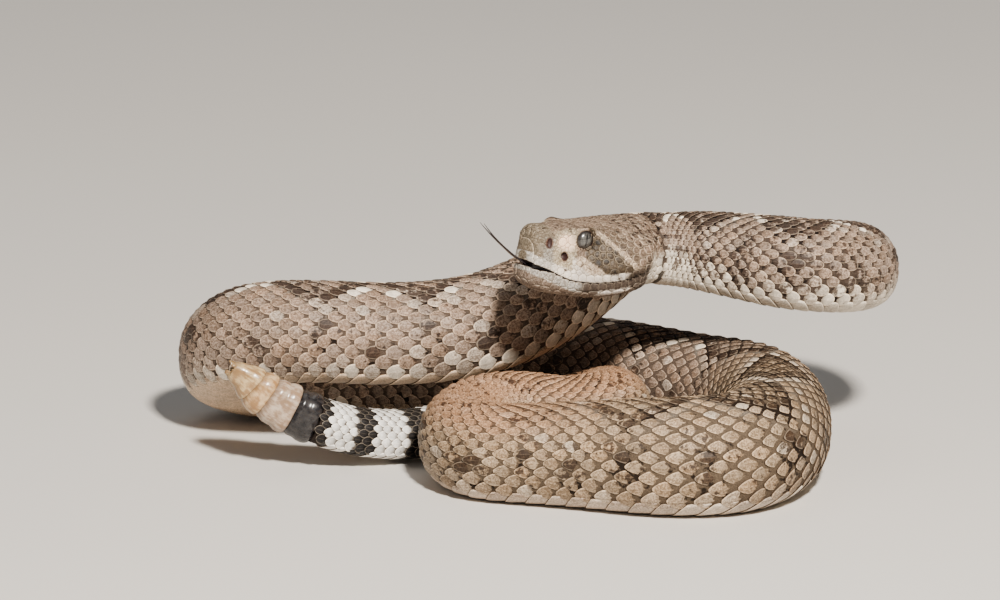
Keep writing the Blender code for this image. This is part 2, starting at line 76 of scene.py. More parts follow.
NECK_LOOP = ((51.0, 86.0), 21.0)
LEFT_BEND = ((-113.5, 99.0), 23.0)
FRONT_BEND = ((-37.0, 31.0), 20.0)
INNER_BEND = ((-24.0, 65.2), 14.4)
FLAT = (None, None)
LENGTHS = {
    "neck_front": [(0.0, 58.6, 72.4, 12.1), (4.8, 62.3, 71.8, 12.3), (12.0, 65.4, 70.9, 12.8),
                   (20.1, 66.5, 70.1, 13.6), (36.7, 66.0, 68.0, 15.0)],
    "neck_loop": bend(*NECK_LOOP, -90, 180, (66.2, 63.4, 60.3, 58.4), (15.8, 15.6, 15.0, 14.2)),
    "neck_back": [(51.0, 107.0, 57.8, 13.5), (34.5, 107.5, 58.6, 12.9),
                  (14.3, 105.5, 60.8, 12.4), (-1.9, 101.0, 62.2, 12.7)],
    "torso_rise": [(-16.1, 95.0, 57.1, 15.0), (-29.5, 88.0, 50.2, 16.6), (-42.9, 82.0, 44.8, 17.2)],
    "torso_left": [(-59.5, 78.0, 41.0, 17.4), (-79.5, 76.0, 39.5, 17.5), (-97.0, 75.7, 39.9, 17.5)],
    "left_bend": bend(*LEFT_BEND, -90, -180, (40.2, 36.8, 26.6, 18.4), (17.5, 17.7, 17.8, 18.0)),
    "torso_under": on_floor((-112, 122, 18.0), (-85, 126, 18.2), (-40, 121, 18.4)),
    "ring_back": on_floor((-7, 111, 18.3), (20, 92.0, 18.3)),
    "ring_side": on_floor((38.5, 71, 19.3), (44, 48, 19.2), (41.5, 21, 19.6)),
    "ring_front": on_floor((29, 0.5, 20.0), (8, -2.5, 19.6), (-13, 4.0, 18.3)),
    "front_bend": bend(*FRONT_BEND, -90, -180, FLAT + (15.8, 16.9), (16.8, 16.2, 16.3, 16.3)),
    "inner": [(-37, 51.0, 16.8, 15.8)] + bend(*INNER_BEND, -90, 180, (16.4, 17.2, 17.0, 14.5),
                                             (14.9, 14.5, 14.0, 13.2)),
    "torso_back": [(-24, 79.6, 11.8, 12.2), (-40, 79.6, 10.1, 10.8)],
    "tail": [(-55.5, 73.6, 9.0, 9.6), (-76.0, 59.0, 9.4, 8.8), (-94.6, 51.5, 12.4, 8.5)],
    "rattle": [(-107.5, 48.5, 16.9, RATTLE_GIRTH), (-115.8, 47.3, 20.9, 8.3), (-124.0, 46.3, 26.0, 7.8),
               (-129.4, 45.6, 31.0, 6.8), (-135.6, 45.0, 35.6, 4.5)],
}
LINE_SAMPLES = 24


def smooth_line(points):
    """Natural cubic spline through the points, spaced by the root of their distance."""
    points = np.array(points, float)
    hops = np.linalg.norm(np.diff(points[:, :3], axis=0), axis=1) ** 0.5
    count = len(points)
    matrix = np.eye(count)
    right = np.zeros_like(points)
    for i in range(1, count - 1):
        matrix[i, i - 1:i + 2] = (hops[i - 1], 2 * (hops[i - 1] + hops[i]), hops[i])
        right[i] = 6 * ((points[i + 1] - points[i]) / hops[i] - (points[i] - points[i - 1]) / hops[i - 1])
    bends = np.linalg.solve(matrix, right)
    rows = []
    for i, hop in enumerate(hops):
        for k in range(LINE_SAMPLES):
            a = hop * k / LINE_SAMPLES
            b = hop - a
            row = (bends[i] * b ** 3 + bends[i + 1] * a ** 3) / (6 * hop)
            row = row + (points[i] / hop - bends[i] * hop / 6) * b
            rows.append(row + (points[i + 1] / hop - bends[i + 1] * hop / 6) * a)
    rows.append(points[-1])
    return np.array(rows)


def unit(vectors):
    """The same directions, one long."""
    return vectors / np.maximum(np.linalg.norm(vectors, axis=-1, keepdims=True), 1e-9)


def lengths_along(points):
    """Distance of each point of a chain from its first, along the chain."""
    return np.concatenate([[0.0], np.cumsum(np.linalg.norm(np.diff(points, axis=0), axis=1))])


def rows_at(at, along, rows):
    """Rows of numbers read off between their places along a chain."""
    return np.stack([np.interp(at, along, column) for column in np.asarray(rows).T], -1)


def round_turns(count):
    """Angles spaced evenly round a circle."""
    return 2 * np.pi * np.arange(count) / count


LINE = smooth_line([point for points in LENGTHS.values() for point in points])
TRAVEL = lengths_along(LINE[:, :3])
HEADING = np.gradient(LINE[:, :3], TRAVEL, axis=0)
BENDING = np.linalg.norm(np.gradient(HEADING, TRAVEL, axis=0), axis=1)
LENGTH_START = {}
passed = 0
for length_name, length_points in LENGTHS.items():
    LENGTH_START[length_name] = TRAVEL[passed * LINE_SAMPLES]
    passed += len(length_points)
TAIL_START = LENGTH_START["tail"]
RATTLE_START = LENGTH_START["rattle"]


def line_at(travel):
    """Middle, girth and the three directions of the body: to the tail, left and up its back."""
    middle = rows_at(travel, TRAVEL, LINE[:, :3])
    girth = np.interp(travel, TRAVEL, LINE[:, 3])
    along = unit(rows_at(travel, TRAVEL, HEADING))
    left = unit(np.cross(along, (0.0, 0.0, 1.0)))
    return middle, girth, along, left, np.cross(left, along)


def on_body(travel, turn, lift):
    """Places on the body, from the turn up from the belly's middle over the left side.

    A lift is how far they stand off the flesh; under the floor they are pressed flat."""
    travel, turn, lift = np.broadcast_arrays(np.asarray(travel, float), turn, lift)
    middle, girth, _, left, back = line_at(travel)
    across, down = np.sin(turn), np.cos(turn)
    low = down > 0
    power = 2 / BELLY_SQUARENESS
    wide = np.where(low, np.sign(across) * np.abs(across) ** power, across)
    high = np.where(low, -BELLY_DEPTH * np.abs(down) ** power, -down)
    face_wide = np.where(low, np.sign(across) * np.abs(across) ** (2 - power), across) / BODY_WIDTH
    face_high = np.where(low, -np.abs(down) ** (2 - power) / BELLY_DEPTH, -down)
    faces = unit(left * face_wide[..., None] + back * face_high[..., None])
    place = middle + left * (BODY_WIDTH * girth * wide)[..., None] + back * (girth * high)[..., None]
    place = place + faces * lift[..., None]
    place[..., 2] = np.maximum(place[..., 2], -PRESSED * lift)
    return place


# Markings of the hide
# Brown diamonds edged with white scales run down the back, with dark spots on the flanks
# and a cream belly. The tail is ringed black and white, and dust lies on the inner coil.
DIAMOND_GIRTHS = 1.95
FIRST_JUNCTION = 0.79
DIAMOND_REACH = 6.0
DORSAL_ROWS = 27
GROUND = (0.308, 0.218, 0.16)
NECK_GROUND = (0.31, 0.225, 0.168)
SAND = (0.35, 0.25, 0.157)
DARK_BROWN = (0.040, 0.026, 0.019)
WHITE_SCALE = (0.80, 0.70, 0.58)
BELLY_CREAM = (0.70, 0.62, 0.51)
DUST = (0.46, 0.245, 0.13)
TAIL_WHITE = (0.80, 0.78, 0.74)
TAIL_BLACK = (0.014, 0.012, 0.012)
TAIL_RINGS = ((3.4, TAIL_BLACK), (12.0, TAIL_WHITE), (18.4, TAIL_BLACK), (30.5, TAIL_WHITE),
              (37.0, TAIL_BLACK), (46.0, TAIL_WHITE), (51.0, TAIL_BLACK), (61.0, WHITE_SCALE))
GIRTHS_PASSED = np.concatenate([[0.0], np.cumsum(np.diff(TRAVEL) / LINE[1:, 3])])
FRONT_COIL = (LENGTH_START["ring_side"] - 20, LENGTH_START["ring_side"] + 30)
SPOT_LENGTH = 3.4
SPOT_WIDTH = 0.85
HIGH_SPOTS = 8.4
LOW_SPOTS = 10.6


def ramp(value, start, end):
    """Smooth climb from 0 to 1 between two values."""
    u = np.clip((value - start) / (end - start), 0.0, 1.0)
    return u * u * (3 - 2 * u)


def blend(colours, other, share):
    """Colours mixed with another by a share for each."""
    share = np.clip(np.asarray(share, float), 0.0, 1.0)[..., None]
    return colours * (1 - share) + np.asarray(other) * share


def diamond_edge(travel, row, chance):
    """Place in the row of diamonds, from 0 at a junction to 1 at a middle, and rows past its edge."""
    phase = (np.interp(travel, TRAVEL, GIRTHS_PASSED) - FIRST_JUNCTION) / DIAMOND_GIRTHS
    off = np.abs(phase - np.round(phase)) * 2
    reach = DIAMOND_REACH * np.clip(off, 0, 1) ** 0.85
    return phase, off, np.abs(row) + (chance - 0.5) * 0.6 - reach


def body_mark(travel, row, chance, second):
    """How darkly the hide is marked, from 0 to 1: diamonds with dark borders, and flank spots."""
    away = np.abs(row)
    phase, off, edge = diamond_edge(travel, row, chance)
    front = ramp(travel, *FRONT_COIL)
    mark = 0.22 + 0.03 * front + 0.10 * (second - 0.5)
    mark = mark + 0.30 * ramp(-edge, 0.0, 1.0) + 0.30 * ramp(-edge, 0.4, 0.9) * (1 - ramp(-edge, 2.0, 2.8))
    strong = 0.5 + 0.5 * np.sin(np.round(phase * 2) * 2.4 + 1.0)
    high_spot = np.hypot((1 - off) * SPOT_LENGTH, (away - HIGH_SPOTS) * SPOT_WIDTH)
    low_spot = np.hypot(off * SPOT_LENGTH, (away - LOW_SPOTS) * SPOT_WIDTH)
    spot = 1 - ramp(np.minimum(high_spot, low_spot), 0.3, 1.35)
    mark = np.maximum(mark, (0.46 + 0.34 * strong) * spot * ramp(travel, 25, 60))
    flank = ramp(away, 4.5, 7) * (1 - ramp(away, 11.5, 13))
    mark = mark + (0.075 + 0.035 * front) * flank * (1 + np.cos(4 * np.pi * phase))
    mark = mark * (1 - 0.6 * ramp(away, 12.0, 13.2)) + 0.14 * (1 - ramp(travel, 40, 110))
    dusty = ramp(travel, LENGTH_START["ring_front"], LENGTH_START["front_bend"])
    mark = mark * (1 - 0.45 * dusty * (1 - ramp(away, 5, 8)))
    return np.where(RATTLE_START - travel < TAIL_RINGS[-1][0], 0.10, mark)


def ringed(tone, travel, chance):
    """The tone with the black and white rings of the tail laid over it."""
    before_rattle = RATTLE_START - travel
    for limit, colour in reversed(TAIL_RINGS):
        shade = 1 - 0.16 * (colour == TAIL_WHITE) * np.asarray(chance)
        tone = np.where((before_rattle < limit)[..., None], np.array(colour) * shade[..., None], tone)
    return tone


def body_tone(travel, row, chance, second, up):
    """Colour of the hide, from the distance behind the nape and the rows away from the spine."""
    away = np.abs(row)
    tone = np.broadcast_to(np.array(GROUND), (*np.shape(travel), 3)).copy()
    tone = blend(tone, NECK_GROUND, 1 - ramp(travel, 90, 160))
    front = ramp(travel, *FRONT_COIL)
    tone = blend(tone, SAND, front)
    tone = tone * (0.80 + 0.40 * chance)[..., None]
    tone = tone * (1 + (second - 0.5)[..., None] * np.array((0.07, -0.02, -0.13)))
    _, off, edge = diamond_edge(travel, row, chance)
    pale_edge = (np.abs(edge) < 0.60) & (away < DIAMOND_REACH + 0.6) & (second > 0.25)
    faded = 1 - 0.45 * front
    tone = blend(tone, WHITE_SCALE, np.where(pale_edge, 0.30 + 0.62 * (away < 3.4), 0.0) * faded)
    tone = blend(tone, WHITE_SCALE, 0.30 * (second < 0.05))
    edge_rows = 13.4 - 2.6 * (1 - ramp(travel, 4, 36)) - 0.9 * (1 - ramp(travel, 200, 260))
    edge_rows = edge_rows + 0.9 * ramp(travel, 300, 480)
    belly = ramp(away + 1.6 * (chance - 0.5), edge_rows - 1.5, edge_rows + 0.5)
    tone = blend(tone, BELLY_CREAM, 0.9 * belly)
    dusty = ramp(travel, LENGTH_START["ring_front"] + 20, LENGTH_START["front_bend"] + 20)
    dusty = dusty * (1 - ramp(travel, LENGTH_START["torso_back"], TAIL_START))
    tone = blend(tone, DUST, dusty * ramp(up, 0.30, 0.90) * 0.80)
    return ringed(tone, travel, chance)


# Shape of the head
# The broad triangular head, narrow snout and full lower jaw, told by profiles along its
# length: distance behind the snout tip, then the size there.
HEAD_LENGTH = 49.0
NAPE_START = 39.0
HEAD_YAW = math.radians(38.0)
HEAD_PITCH = math.radians(13.0)
SNOUT_TIP = np.array([-37.9, 29.0, 81.9])
MOUTH_HEIGHT = ((0, -5.2), (0.8, -5.8), (5.4, -7.1), (14.8, -9.6), (19, -9.5), (24.7, -8.5),
                (31.9, -6.4), (36.3, -4.4), (40, -2.4), (49, 0.0))
LIP_WIDTH = ((0, 2.6), (0.5, 4.2), (1.4, 5.6), (3, 6.9), (6, 8.1), (10, 9.3), (14.8, 11.0), (19, 12.8),
             (24.7, 15.5), (31.9, 17.7), (36, 18.1), (40, 17.3), (44, 15.2), (49, 12.2))
CHEEK_WIDTH = ((0, 2.7), (0.5, 4.3), (1.4, 5.6), (3, 6.9), (6, 8.2), (10, 9.1), (14.8, 11.2), (19, 13.6),
               (24.7, 16.7), (31.9, 18.8), (36, 18.9), (40, 17.8), (44, 15.6), (49, 12.5))
LOREAL_WIDTH = ((0, 2.6), (0.5, 4.1), (1.4, 5.2), (3, 6.2), (6, 7.3), (10, 8.0), (14, 9.3), (16.8, 9.7),
                (19.5, 11.4), (22, 13.4), (26, 15.4), (31.9, 17.0), (36, 17.0), (40, 16.0), (49, 12.2))
BROW_WIDTH = ((0, 2.6), (0.5, 4.0), (1.4, 5.3), (3, 6.2), (6, 7.0), (10, 8.0), (14, 9.6), (17, 10.8),
              (20, 10.9), (23, 11.1), (28, 11.9), (34, 12.2), (40, 11.0), (49, 8.8))
BROW_HEIGHT = ((0, 1.4), (0.5, 2.2), (1.4, 3.0), (3.6, 3.8), (8, 4.8), (12.9, 6.1), (15.4, 7.4), (17.6, 8.0),
               (20.5, 7.3), (24, 7.0), (32, 7.7), (40, 8.6), (49, 9.2))
CROWN_HEIGHT = ((0, 3.2), (0.5, 4.8), (1.4, 6.0), (3, 6.7), (8, 7.0), (13, 7.6), (17.8, 8.2), (25, 9.6),
                (33.6, 11.0), (40, 12.1), (45.4, 13.0), (49, 13.6))
CHIN_HEIGHT = ((0, -11.6), (0.5, -12.2), (1.4, -13.0), (3.3, -14.0), (7.4, -15.3), (15.9, -15.7),
               (25.1, -15.2), (32.1, -13.7), (39.3, -12.0), (44.7, -10.9), (49, -10.6))
JAW_WIDTH = ((0, 2.8), (0.5, 4.0), (1.4, 5.3), (3, 6.5), (6, 7.8), (10, 9.1), (14.8, 10.8), (19, 12.5),
             (24.7, 15.1), (31.9, 17.2), (36, 17.6), (40, 16.8), (44, 15.0), (49, 12.2))
MOUTH_OPENING = ((0, 1.9), (3, 1.5), (6, 0.7), (9, 0.4), (36, 0.4), (38, 0.6), (49, 3.0))
MOUTH_END = 38.0
EYE_RADIUS = 3.1
EYE_PLACE = (16.8, 8.9, 4.1)
PIT_PLACE = (10.3, -2.2, 1.25)
NOSTRIL_PLACE = (4.6, 1.5, 1.0)
HEAD_SKIN_DEPTH = 0.35
SKIN_DEPTH = 0.85
SECTION_CUTS = 8
LOW_POINTS = 3 * SECTION_CUTS + 1
HIGH_CUTS = 5 * SECTION_CUTS
RING_POINTS = 2 * (LOW_POINTS + HIGH_CUTS)
SECTION_HALVES = {1: list(range(RING_POINTS // 2 + 1)),
                  -1: [0, *range(RING_POINTS - 1, RING_POINTS // 2 - 1, -1)]}


def profile(knots, at):
    """Smooth value of a profile at one place, with slopes that don't overshoot."""
    xs = [k[0] for k in knots]
    ys = [k[1] for k in knots]
    at = min(max(at, xs[0]), xs[-1])
    i = min(max(int(np.searchsorted(xs, at, side="right")) - 1, 0), len(xs) - 2)
    slopes = [(ys[j + 1] - ys[j]) / (xs[j + 1] - xs[j]) for j in range(len(xs) - 1)]

    def tangent(j):
        if j == 0 or j == len(xs) - 1:
            return slopes[min(j, len(slopes) - 1)]
        before, after = slopes[j - 1], slopes[j]
        return 0.0 if before * after <= 0 else 2 * before * after / (before + after)

    step = xs[i + 1] - xs[i]
    u = (at - xs[i]) / step
    start = ys[i] * (1 + 2 * u) * (1 - u) ** 2 + step * tangent(i) * u * (1 - u) ** 2
    end = ys[i + 1] * (3 - 2 * u) * u ** 2 + step * tangent(i + 1) * (u - 1) * u ** 2
    return start + end


flat_share = math.cos(HEAD_PITCH)
FORWARD = np.array([-math.cos(HEAD_YAW) * flat_share, -math.sin(HEAD_YAW) * flat_share, math.sin(HEAD_PITCH)])
HEAD_LEFT = np.array([math.sin(HEAD_YAW), -math.cos(HEAD_YAW), 0.0])
HEAD_UP = np.cross(FORWARD, HEAD_LEFT)


def head_point(behind, aside, height):
    """A place on the head, from its distance behind the snout, to the left and up."""
    return SNOUT_TIP - FORWARD * behind + HEAD_LEFT * aside + HEAD_UP * height


def head_coordinates(place):
    """Distance behind the snout tip, to the left and up, of places on the head."""
    v = place - SNOUT_TIP
    return -(v @ FORWARD), v @ HEAD_LEFT, v @ HEAD_UP


def curve_through(points):
    """Smooth curve through section points, that meets its mirror image squarely at the ends."""
    first = (-points[1][0], points[1][1]) if abs(points[0][0]) < 1e-6 else points[0]
    last = (-points[-2][0], points[-2][1]) if abs(points[-1][0]) < 1e-6 else points[-1]
    chain = [np.array(p, float) for p in (first, *points, last)]
    out = []
    for i in range(1, len(chain) - 2):
        p0, p1, p2, p3 = chain[i - 1:i + 3]
        for k in range(SECTION_CUTS):
            u = k / SECTION_CUTS
            out.append(0.5 * (2 * p1 + (p2 - p0) * u + (2 * p0 - 5 * p1 + 4 * p2 - p3) * u ** 2
                              + (3 * p1 - p0 - 3 * p2 + p3) * u ** 3))
    out.append(chain[-2])
    return out


def head_half(behind):
    """Left half of one section of the head's skin, from the chin up to the crown."""
    mouth = profile(MOUTH_HEIGHT, behind)
    lip, cheek = profile(LIP_WIDTH, behind), profile(CHEEK_WIDTH, behind)
    loreal, brow = profile(LOREAL_WIDTH, behind), profile(BROW_WIDTH, behind)
    edge, crown = profile(BROW_HEIGHT, behind), profile(CROWN_HEIGHT, behind)
    chin, jaw = profile(CHIN_HEIGHT, behind), profile(JAW_WIDTH, behind)
    low_lip = mouth - profile(MOUTH_OPENING, behind)
    depth = low_lip - chin
    lower = curve_through([(0, chin), (0.6 * jaw, chin + 0.08 * depth), (0.93 * jaw, chin + 0.45 * depth),
                           (jaw, low_lip)])
    upper = curve_through([(lip, mouth), (cheek, mouth + 0.3 * (edge - mouth)),
                           (loreal, mouth + 0.74 * (edge - mouth)), (brow, edge),
                           (0.6 * brow, edge + 0.8 * (crown - edge)), (0, crown)])
    half = np.array(lower + upper)
    inwards = np.gradient(half, axis=0)
    inwards = unit(np.stack([-inwards[:, 1], inwards[:, 0]], -1))
    half = half + inwards * HEAD_SKIN_DEPTH
    half[[0, -1], 0] = 0.0
    return half


def head_ring(behind):
    """One whole ring of the head's skin, which turns into the neck's own at the nape."""
    half = head_half(max(behind, 0.0))
    half = np.concatenate([half, half[-2:0:-1] * (-1, 1)])
    ring = head_point(behind, 0, 0) + half[:, :1] * HEAD_LEFT + half[:, 1:] * HEAD_UP
    neck = on_body(0.0, round_turns(RING_POINTS), -SKIN_DEPTH) + FORWARD * (HEAD_LENGTH - behind)
    share = profile(((0, 0), (NAPE_START, 0), (HEAD_LENGTH, 1)), behind)
    return ring * (1 - share) + neck * share


# Markings of the head
# Grey-brown crown, two pale stripes that run back and down past the eye with a netted
# brown mask between them, pale lips, a tan chin darkened in part as painted shade, a brown band
# behind, and a painted shadow in the crease at the jaw's end.
CROWN_GREY = (0.212, 0.148, 0.105)
SNOUT_GREY = (0.20, 0.165, 0.115)
FACE_CREAM = (0.92, 0.66, 0.47)
LOREAL_OLIVE = (0.50, 0.42, 0.29)
STRIPE_PALE = (0.50, 0.39, 0.285)
LIP_WHITE = (0.70, 0.62, 0.54)
LIP_BLUE = (0.47, 0.45, 0.41)
MASK_BROWN = (0.052, 0.036, 0.021)
JAW_BROWN_AND_CREASE_SHADE = (0.055, 0.038, 0.028)
CHIN_TAN_WITH_SHADE = (0.21, 0.155, 0.118)
HOLE_EDGE = (0.11, 0.05, 0.032)
EYE_STRIPE = ((20.0, 7.6), (33.5, -2.6))
LIP_STRIPE = ((14.5, -2.6), (28.7, -11.4))
EYE_STRIPE_WIDTH = 0.85
CHEEK_START = 7
MASK_START = 17
PATCH_PLACE = (10.6, 2.3)


def side_of(line, behind, height):
    """Distance from a stripe's line, and on which side: above and behind it is positive."""
    (b0, h0), (b1, h1) = line
    size = math.hypot(b1 - b0, h1 - h0)
    off = ((height - h0) * (b1 - b0) - (behind - b0) * (h1 - h0)) / size
    run = ((behind - b0) * (b1 - b0) + (height - h0) * (h1 - h0)) / size
    return off, run / size


def face_patch(behind, height):
    """How far a place lies in the cream patch before the eye, from 0 to 1."""
    off = np.hypot((behind - PATCH_PLACE[0]) * 0.85, height - PATCH_PLACE[1])
    return 1 - ramp(off, 1.6, 3.6)


def head_tone(places, chance, second):
    """Colour of the head's hide at places on it."""
    behind, aside, height = head_coordinates(places)
    aside = np.abs(aside)
    lip = height - np.interp(behind, *np.array(MOUTH_HEIGHT).T)
    tone = np.broadcast_to(np.array(CROWN_GREY), places.shape) * (0.82 + 0.4 * chance)[:, None]
    tone = blend(tone, STRIPE_PALE, 0.30 * (second < 0.15))
    tone = blend(tone, SNOUT_GREY, 0.8 * (1 - ramp(behind, 4, 8)))
    on_side = ramp(aside, 5.0, 7.5) * (1 - ramp(height, 6.6, 8.0))
    nasal = on_side * ramp(behind, 2.2, 3.4) * (1 - ramp(behind, 6, 7)) * (height < 3.4)
    tone = blend(tone, LIP_BLUE, 0.45 * nasal)
    loreal = on_side * ramp(behind, 5.5, 7.0) * (1 - ramp(behind, 13, 15))
    tone = blend(tone, LOREAL_OLIVE, 0.8 * loreal)
    tone = blend(tone, FACE_CREAM, 0.95 * loreal * face_patch(behind, height))
    eye_off, eye_run = side_of(EYE_STRIPE, behind, height)
    lip_off, lip_run = side_of(LIP_STRIPE, behind, height)
    low_face = (aside > CHEEK_START) & (behind > 13)
    mask = low_face & (eye_off < 0) & (lip_off > 0) & (behind > MASK_START)
    mask_tone = np.array(MASK_BROWN) * (0.65 + 0.7 * chance)[:, None]
    mask_tone = blend(mask_tone, STRIPE_PALE, 0.12 * (second > 0.80))
    tone = np.where(mask[:, None], mask_tone, tone)
    behind_stripe = low_face & (eye_off >= 0) & (behind > 21) & (height < 9)
    tone = blend(tone, MASK_BROWN, behind_stripe * 0.60 * (1 - ramp(eye_off, 2, 9)) * (chance > 0.3))
    tone = blend(tone, LIP_WHITE, low_face * (lip_off <= 0) * 0.75)
    lip_stripe = low_face & (np.abs(lip_off - 0.3) < 1.7) & (lip_run > 0) & (lip_run < 1.1)
    eye_stripe = low_face & (np.abs(eye_off) < EYE_STRIPE_WIDTH) & (eye_run > 0) & (eye_run < 1.03)
    tone = blend(tone, STRIPE_PALE, 0.9 * lip_stripe)
    tone = blend(tone, STRIPE_PALE, 0.8 * eye_stripe)
    upper_lip = (lip > -0.2) & (lip < 2.7) & (behind < 36) & (aside > 2)
    tone = blend(tone, LIP_WHITE, 0.85 * upper_lip * (1 - ramp(behind, 29.5, 32)))
    tone = blend(tone, LIP_BLUE, 0.7 * upper_lip * (1 - ramp(behind, 4, 9)))
    tone = blend(tone, JAW_BROWN_AND_CREASE_SHADE, 0.75 * upper_lip * ramp(behind, 30, 33) * (chance > 0.2))
    under = lip < -0.1
    low_lip = under & (lip > -3.6)
    # The chin under the lip: tan, darkened in part as painted shade under the jaw.
    tone = np.where(under[:, None], np.array(CHIN_TAN_WITH_SHADE) * (0.85 + 0.3 * chance)[:, None], tone)
    tone = blend(tone, LIP_BLUE, 0.70 * low_lip * (1 - ramp(behind, 15, 21)))
    tone = blend(tone, JAW_BROWN_AND_CREASE_SHADE, 0.92 * low_lip * ramp(behind, 15, 19))
    dashes = under & (lip <= -2.9) & (lip > -4.9) & (behind > 23) & (behind < 33.5)
    tone = blend(tone, LIP_WHITE, 0.75 * dashes * (second > 0.35))
    # Dark red-brown round each heat pit and nostril: partly the hole's own lining colour, partly painted
    # shade at the opening's edge.
    for (at, up, _), size in ((PIT_PLACE, 1.0), (NOSTRIL_PLACE, 1.1)):
        hole = np.hypot(behind - at, (height - up) * 0.75)
        tone = blend(tone, HOLE_EDGE, (aside > 4) * (1 - ramp(hole, size, size + 0.5)))
    nape = ramp(behind, 39.8, 42)
    # Painted shadow in the crease at the jaw's end, low on the side just before the nape.
    tone = blend(tone, JAW_BROWN_AND_CREASE_SHADE, 0.8 * ramp(behind, 36, 38) * (1 - nape) * (1 - ramp(height, 0, 3)))
    return blend(tone, BELLY_CREAM, 0.92 * nape * (1 - ramp(height + 3 * (chance - 0.5), 0.5, 3.5)))


def head_mark(places):
    """How darkly the head is speckled, from 0 to 1: most on the crown and in the mask."""
    behind, aside, height = head_coordinates(places)
    aside = np.abs(aside)
    eye_off = side_of(EYE_STRIPE, behind, height)[0]
    lip_off = side_of(LIP_STRIPE, behind, height)[0]
    low = 1 - ramp(height - np.interp(behind, *np.array(MOUTH_HEIGHT).T), 2.0, 6.0)
    mask = (aside > CHEEK_START) & (behind > MASK_START) & (eye_off < -0.9) & (lip_off > 1.9)
    mark = 0.35 - 0.16 * low + 0.18 * ramp(behind, 24, 38) * ramp(height, 2, 7)
    mark = np.where(mask, 0.40, mark)
    mark = np.where((np.abs(eye_off) < EYE_STRIPE_WIDTH) & (behind > 19) & (aside > 6), 0.05, mark)
    mark = mark - 0.20 * face_patch(behind, height)
    return mark * np.maximum(ramp(behind, 1, 8), ramp(height, 1.5, 4.0))


# Skin of the whole animal
# The hide below the scales, from the snout to the root of the rattle, in one closed piece
# lofted along the body, with the mouth, eye sockets, heat pits and nostrils cut in.
FLESH = ("head", "lower_jaw", "neck", "torso", "tail")
SKIN_STEP = 2.6
HEAD_STEP = 0.5
SKIN_SHADE = 0.62
BELLY_ROWS = 3.3
HOLE_SHADE = 0.4
BEYOND_LIPS = 30.0
# Lining colours are near black as painted shade inside the openings; the pits' and nostrils' lining keeps a
# dark red.
LINING_RED = (0.024, 0.006, 0.004)
MOUTH_DARK = (0.035, 0.020, 0.018)
MARK_DARKENING = (0.105, 0.08, 0.072)


def finish_nodes(name):
    """A new material with its node tree and shader."""
    material = bpy.data.materials.new(name)
    material.use_nodes = True
    tree = material.node_tree
    return material, tree, tree.nodes["Principled BSDF"]


def add_node(tree, kind, settings=()):
    """A node with its own options set, and its inputs set or linked, by name or number."""
    node = tree.nodes.new(kind)
    for key, value in dict(settings).items():
        if isinstance(value, bpy.types.NodeSocket):
            tree.links.new(value, node.inputs[key])
        elif isinstance(key, str) and hasattr(node, key) and key not in node.inputs:
            setattr(node, key, value)
        else:
            node.inputs[key].default_value = value
    return node


def attribute(tree, name, output="Fac"):
    """A named attribute of the mesh."""
    return add_node(tree, "ShaderNodeAttribute", {"attribute_name": name}).outputs[output]


def object_place(tree):
    """The place on the piece itself."""
    return add_node(tree, "ShaderNodeTexCoord").outputs["Object"]


def noise(tree, place, scale, detail, roughness=0.5):
    """A cloudy value for each place."""
    settings = {"Scale": scale, "Detail": detail, "Roughness": roughness, "Vector": place}
    return add_node(tree, "ShaderNodeTexNoise", settings).outputs["Fac"]


def reckon(tree, operation, first, second=0.0, third=0.0):
    """A number worked out from sockets and numbers."""
    settings = {"operation": operation, 0: first, 1: second, 2: third}
    return add_node(tree, "ShaderNodeMath", settings).outputs[0]


def reckon_vector(tree, operation, first, second=(0, 0, 0), third=(0, 0, 0), scale=1.0):
    """A vector or colour worked out from sockets and values, or a vector's length."""
    settings = {"operation": operation, 0: first, 1: second, 2: third, 3: scale}
    return add_node(tree, "ShaderNodeVectorMath", settings).outputs["Value" if operation == "LENGTH" else 0]


def colour_mix(tree, share, first, second):
    """Mix of two colours, each a socket or a colour, by a share that is a socket or a number."""
    first, second = (c if isinstance(c, bpy.types.NodeSocket) else (*c, 1) for c in (first, second))
    return add_node(tree, "ShaderNodeMix", {"data_type": "RGBA", 0: share, 6: first, 7: second}).outputs[2]


def span(tree, socket, start, end, low=0.0, high=1.0):
    """A value stretched from one span to another, clamped and eased."""
    settings = {"interpolation_type": "SMOOTHSTEP", 0: socket, 1: start, 2: end, 3: low, 4: high}
    return add_node(tree, "ShaderNodeMapRange", settings).outputs[0]


def add_bump(tree, shader, height, strength, distance):
    """Fine relief on a finish, from a value for its height."""
    bump = add_node(tree, "ShaderNodeBump", {"Strength": strength, "Distance": distance, "Height": height})
    tree.links.new(bump.outputs[0], shader.inputs["Normal"])


def plain_finish(name, colour, roughness):
    """A matt lining with slight mottling."""
    material, tree, shader = finish_nodes(name)
    mottle = noise(tree, object_place(tree), 900.0, 3.0)
    tone = colour_mix(tree, mottle, [c * 0.6 for c in colour], [c * 1.4 for c in colour])
    tree.links.new(tone, shader.inputs["Base Color"])
    shader.inputs["Roughness"].default_value = roughness
    return material


def marked(tree, tone, place):
    """A tone with its brown markings, whose edges a noise breaks up within each scale."""
    uneven = reckon(tree, "MULTIPLY_ADD", noise(tree, place, 430.0, 4.0, 0.6), 2.1, -1.10)
    rooted = reckon(tree, "MULTIPLY_ADD", attribute(tree, "base"), 0.32, uneven)
    level = reckon(tree, "ADD", attribute(tree, "mark"), rooted)
    dark = reckon_vector(tree, "MULTIPLY", tone, MARK_DARKENING)
    return colour_mix(tree, span(tree, level, 0.42, 0.66, 0.0, 0.94), tone, dark)


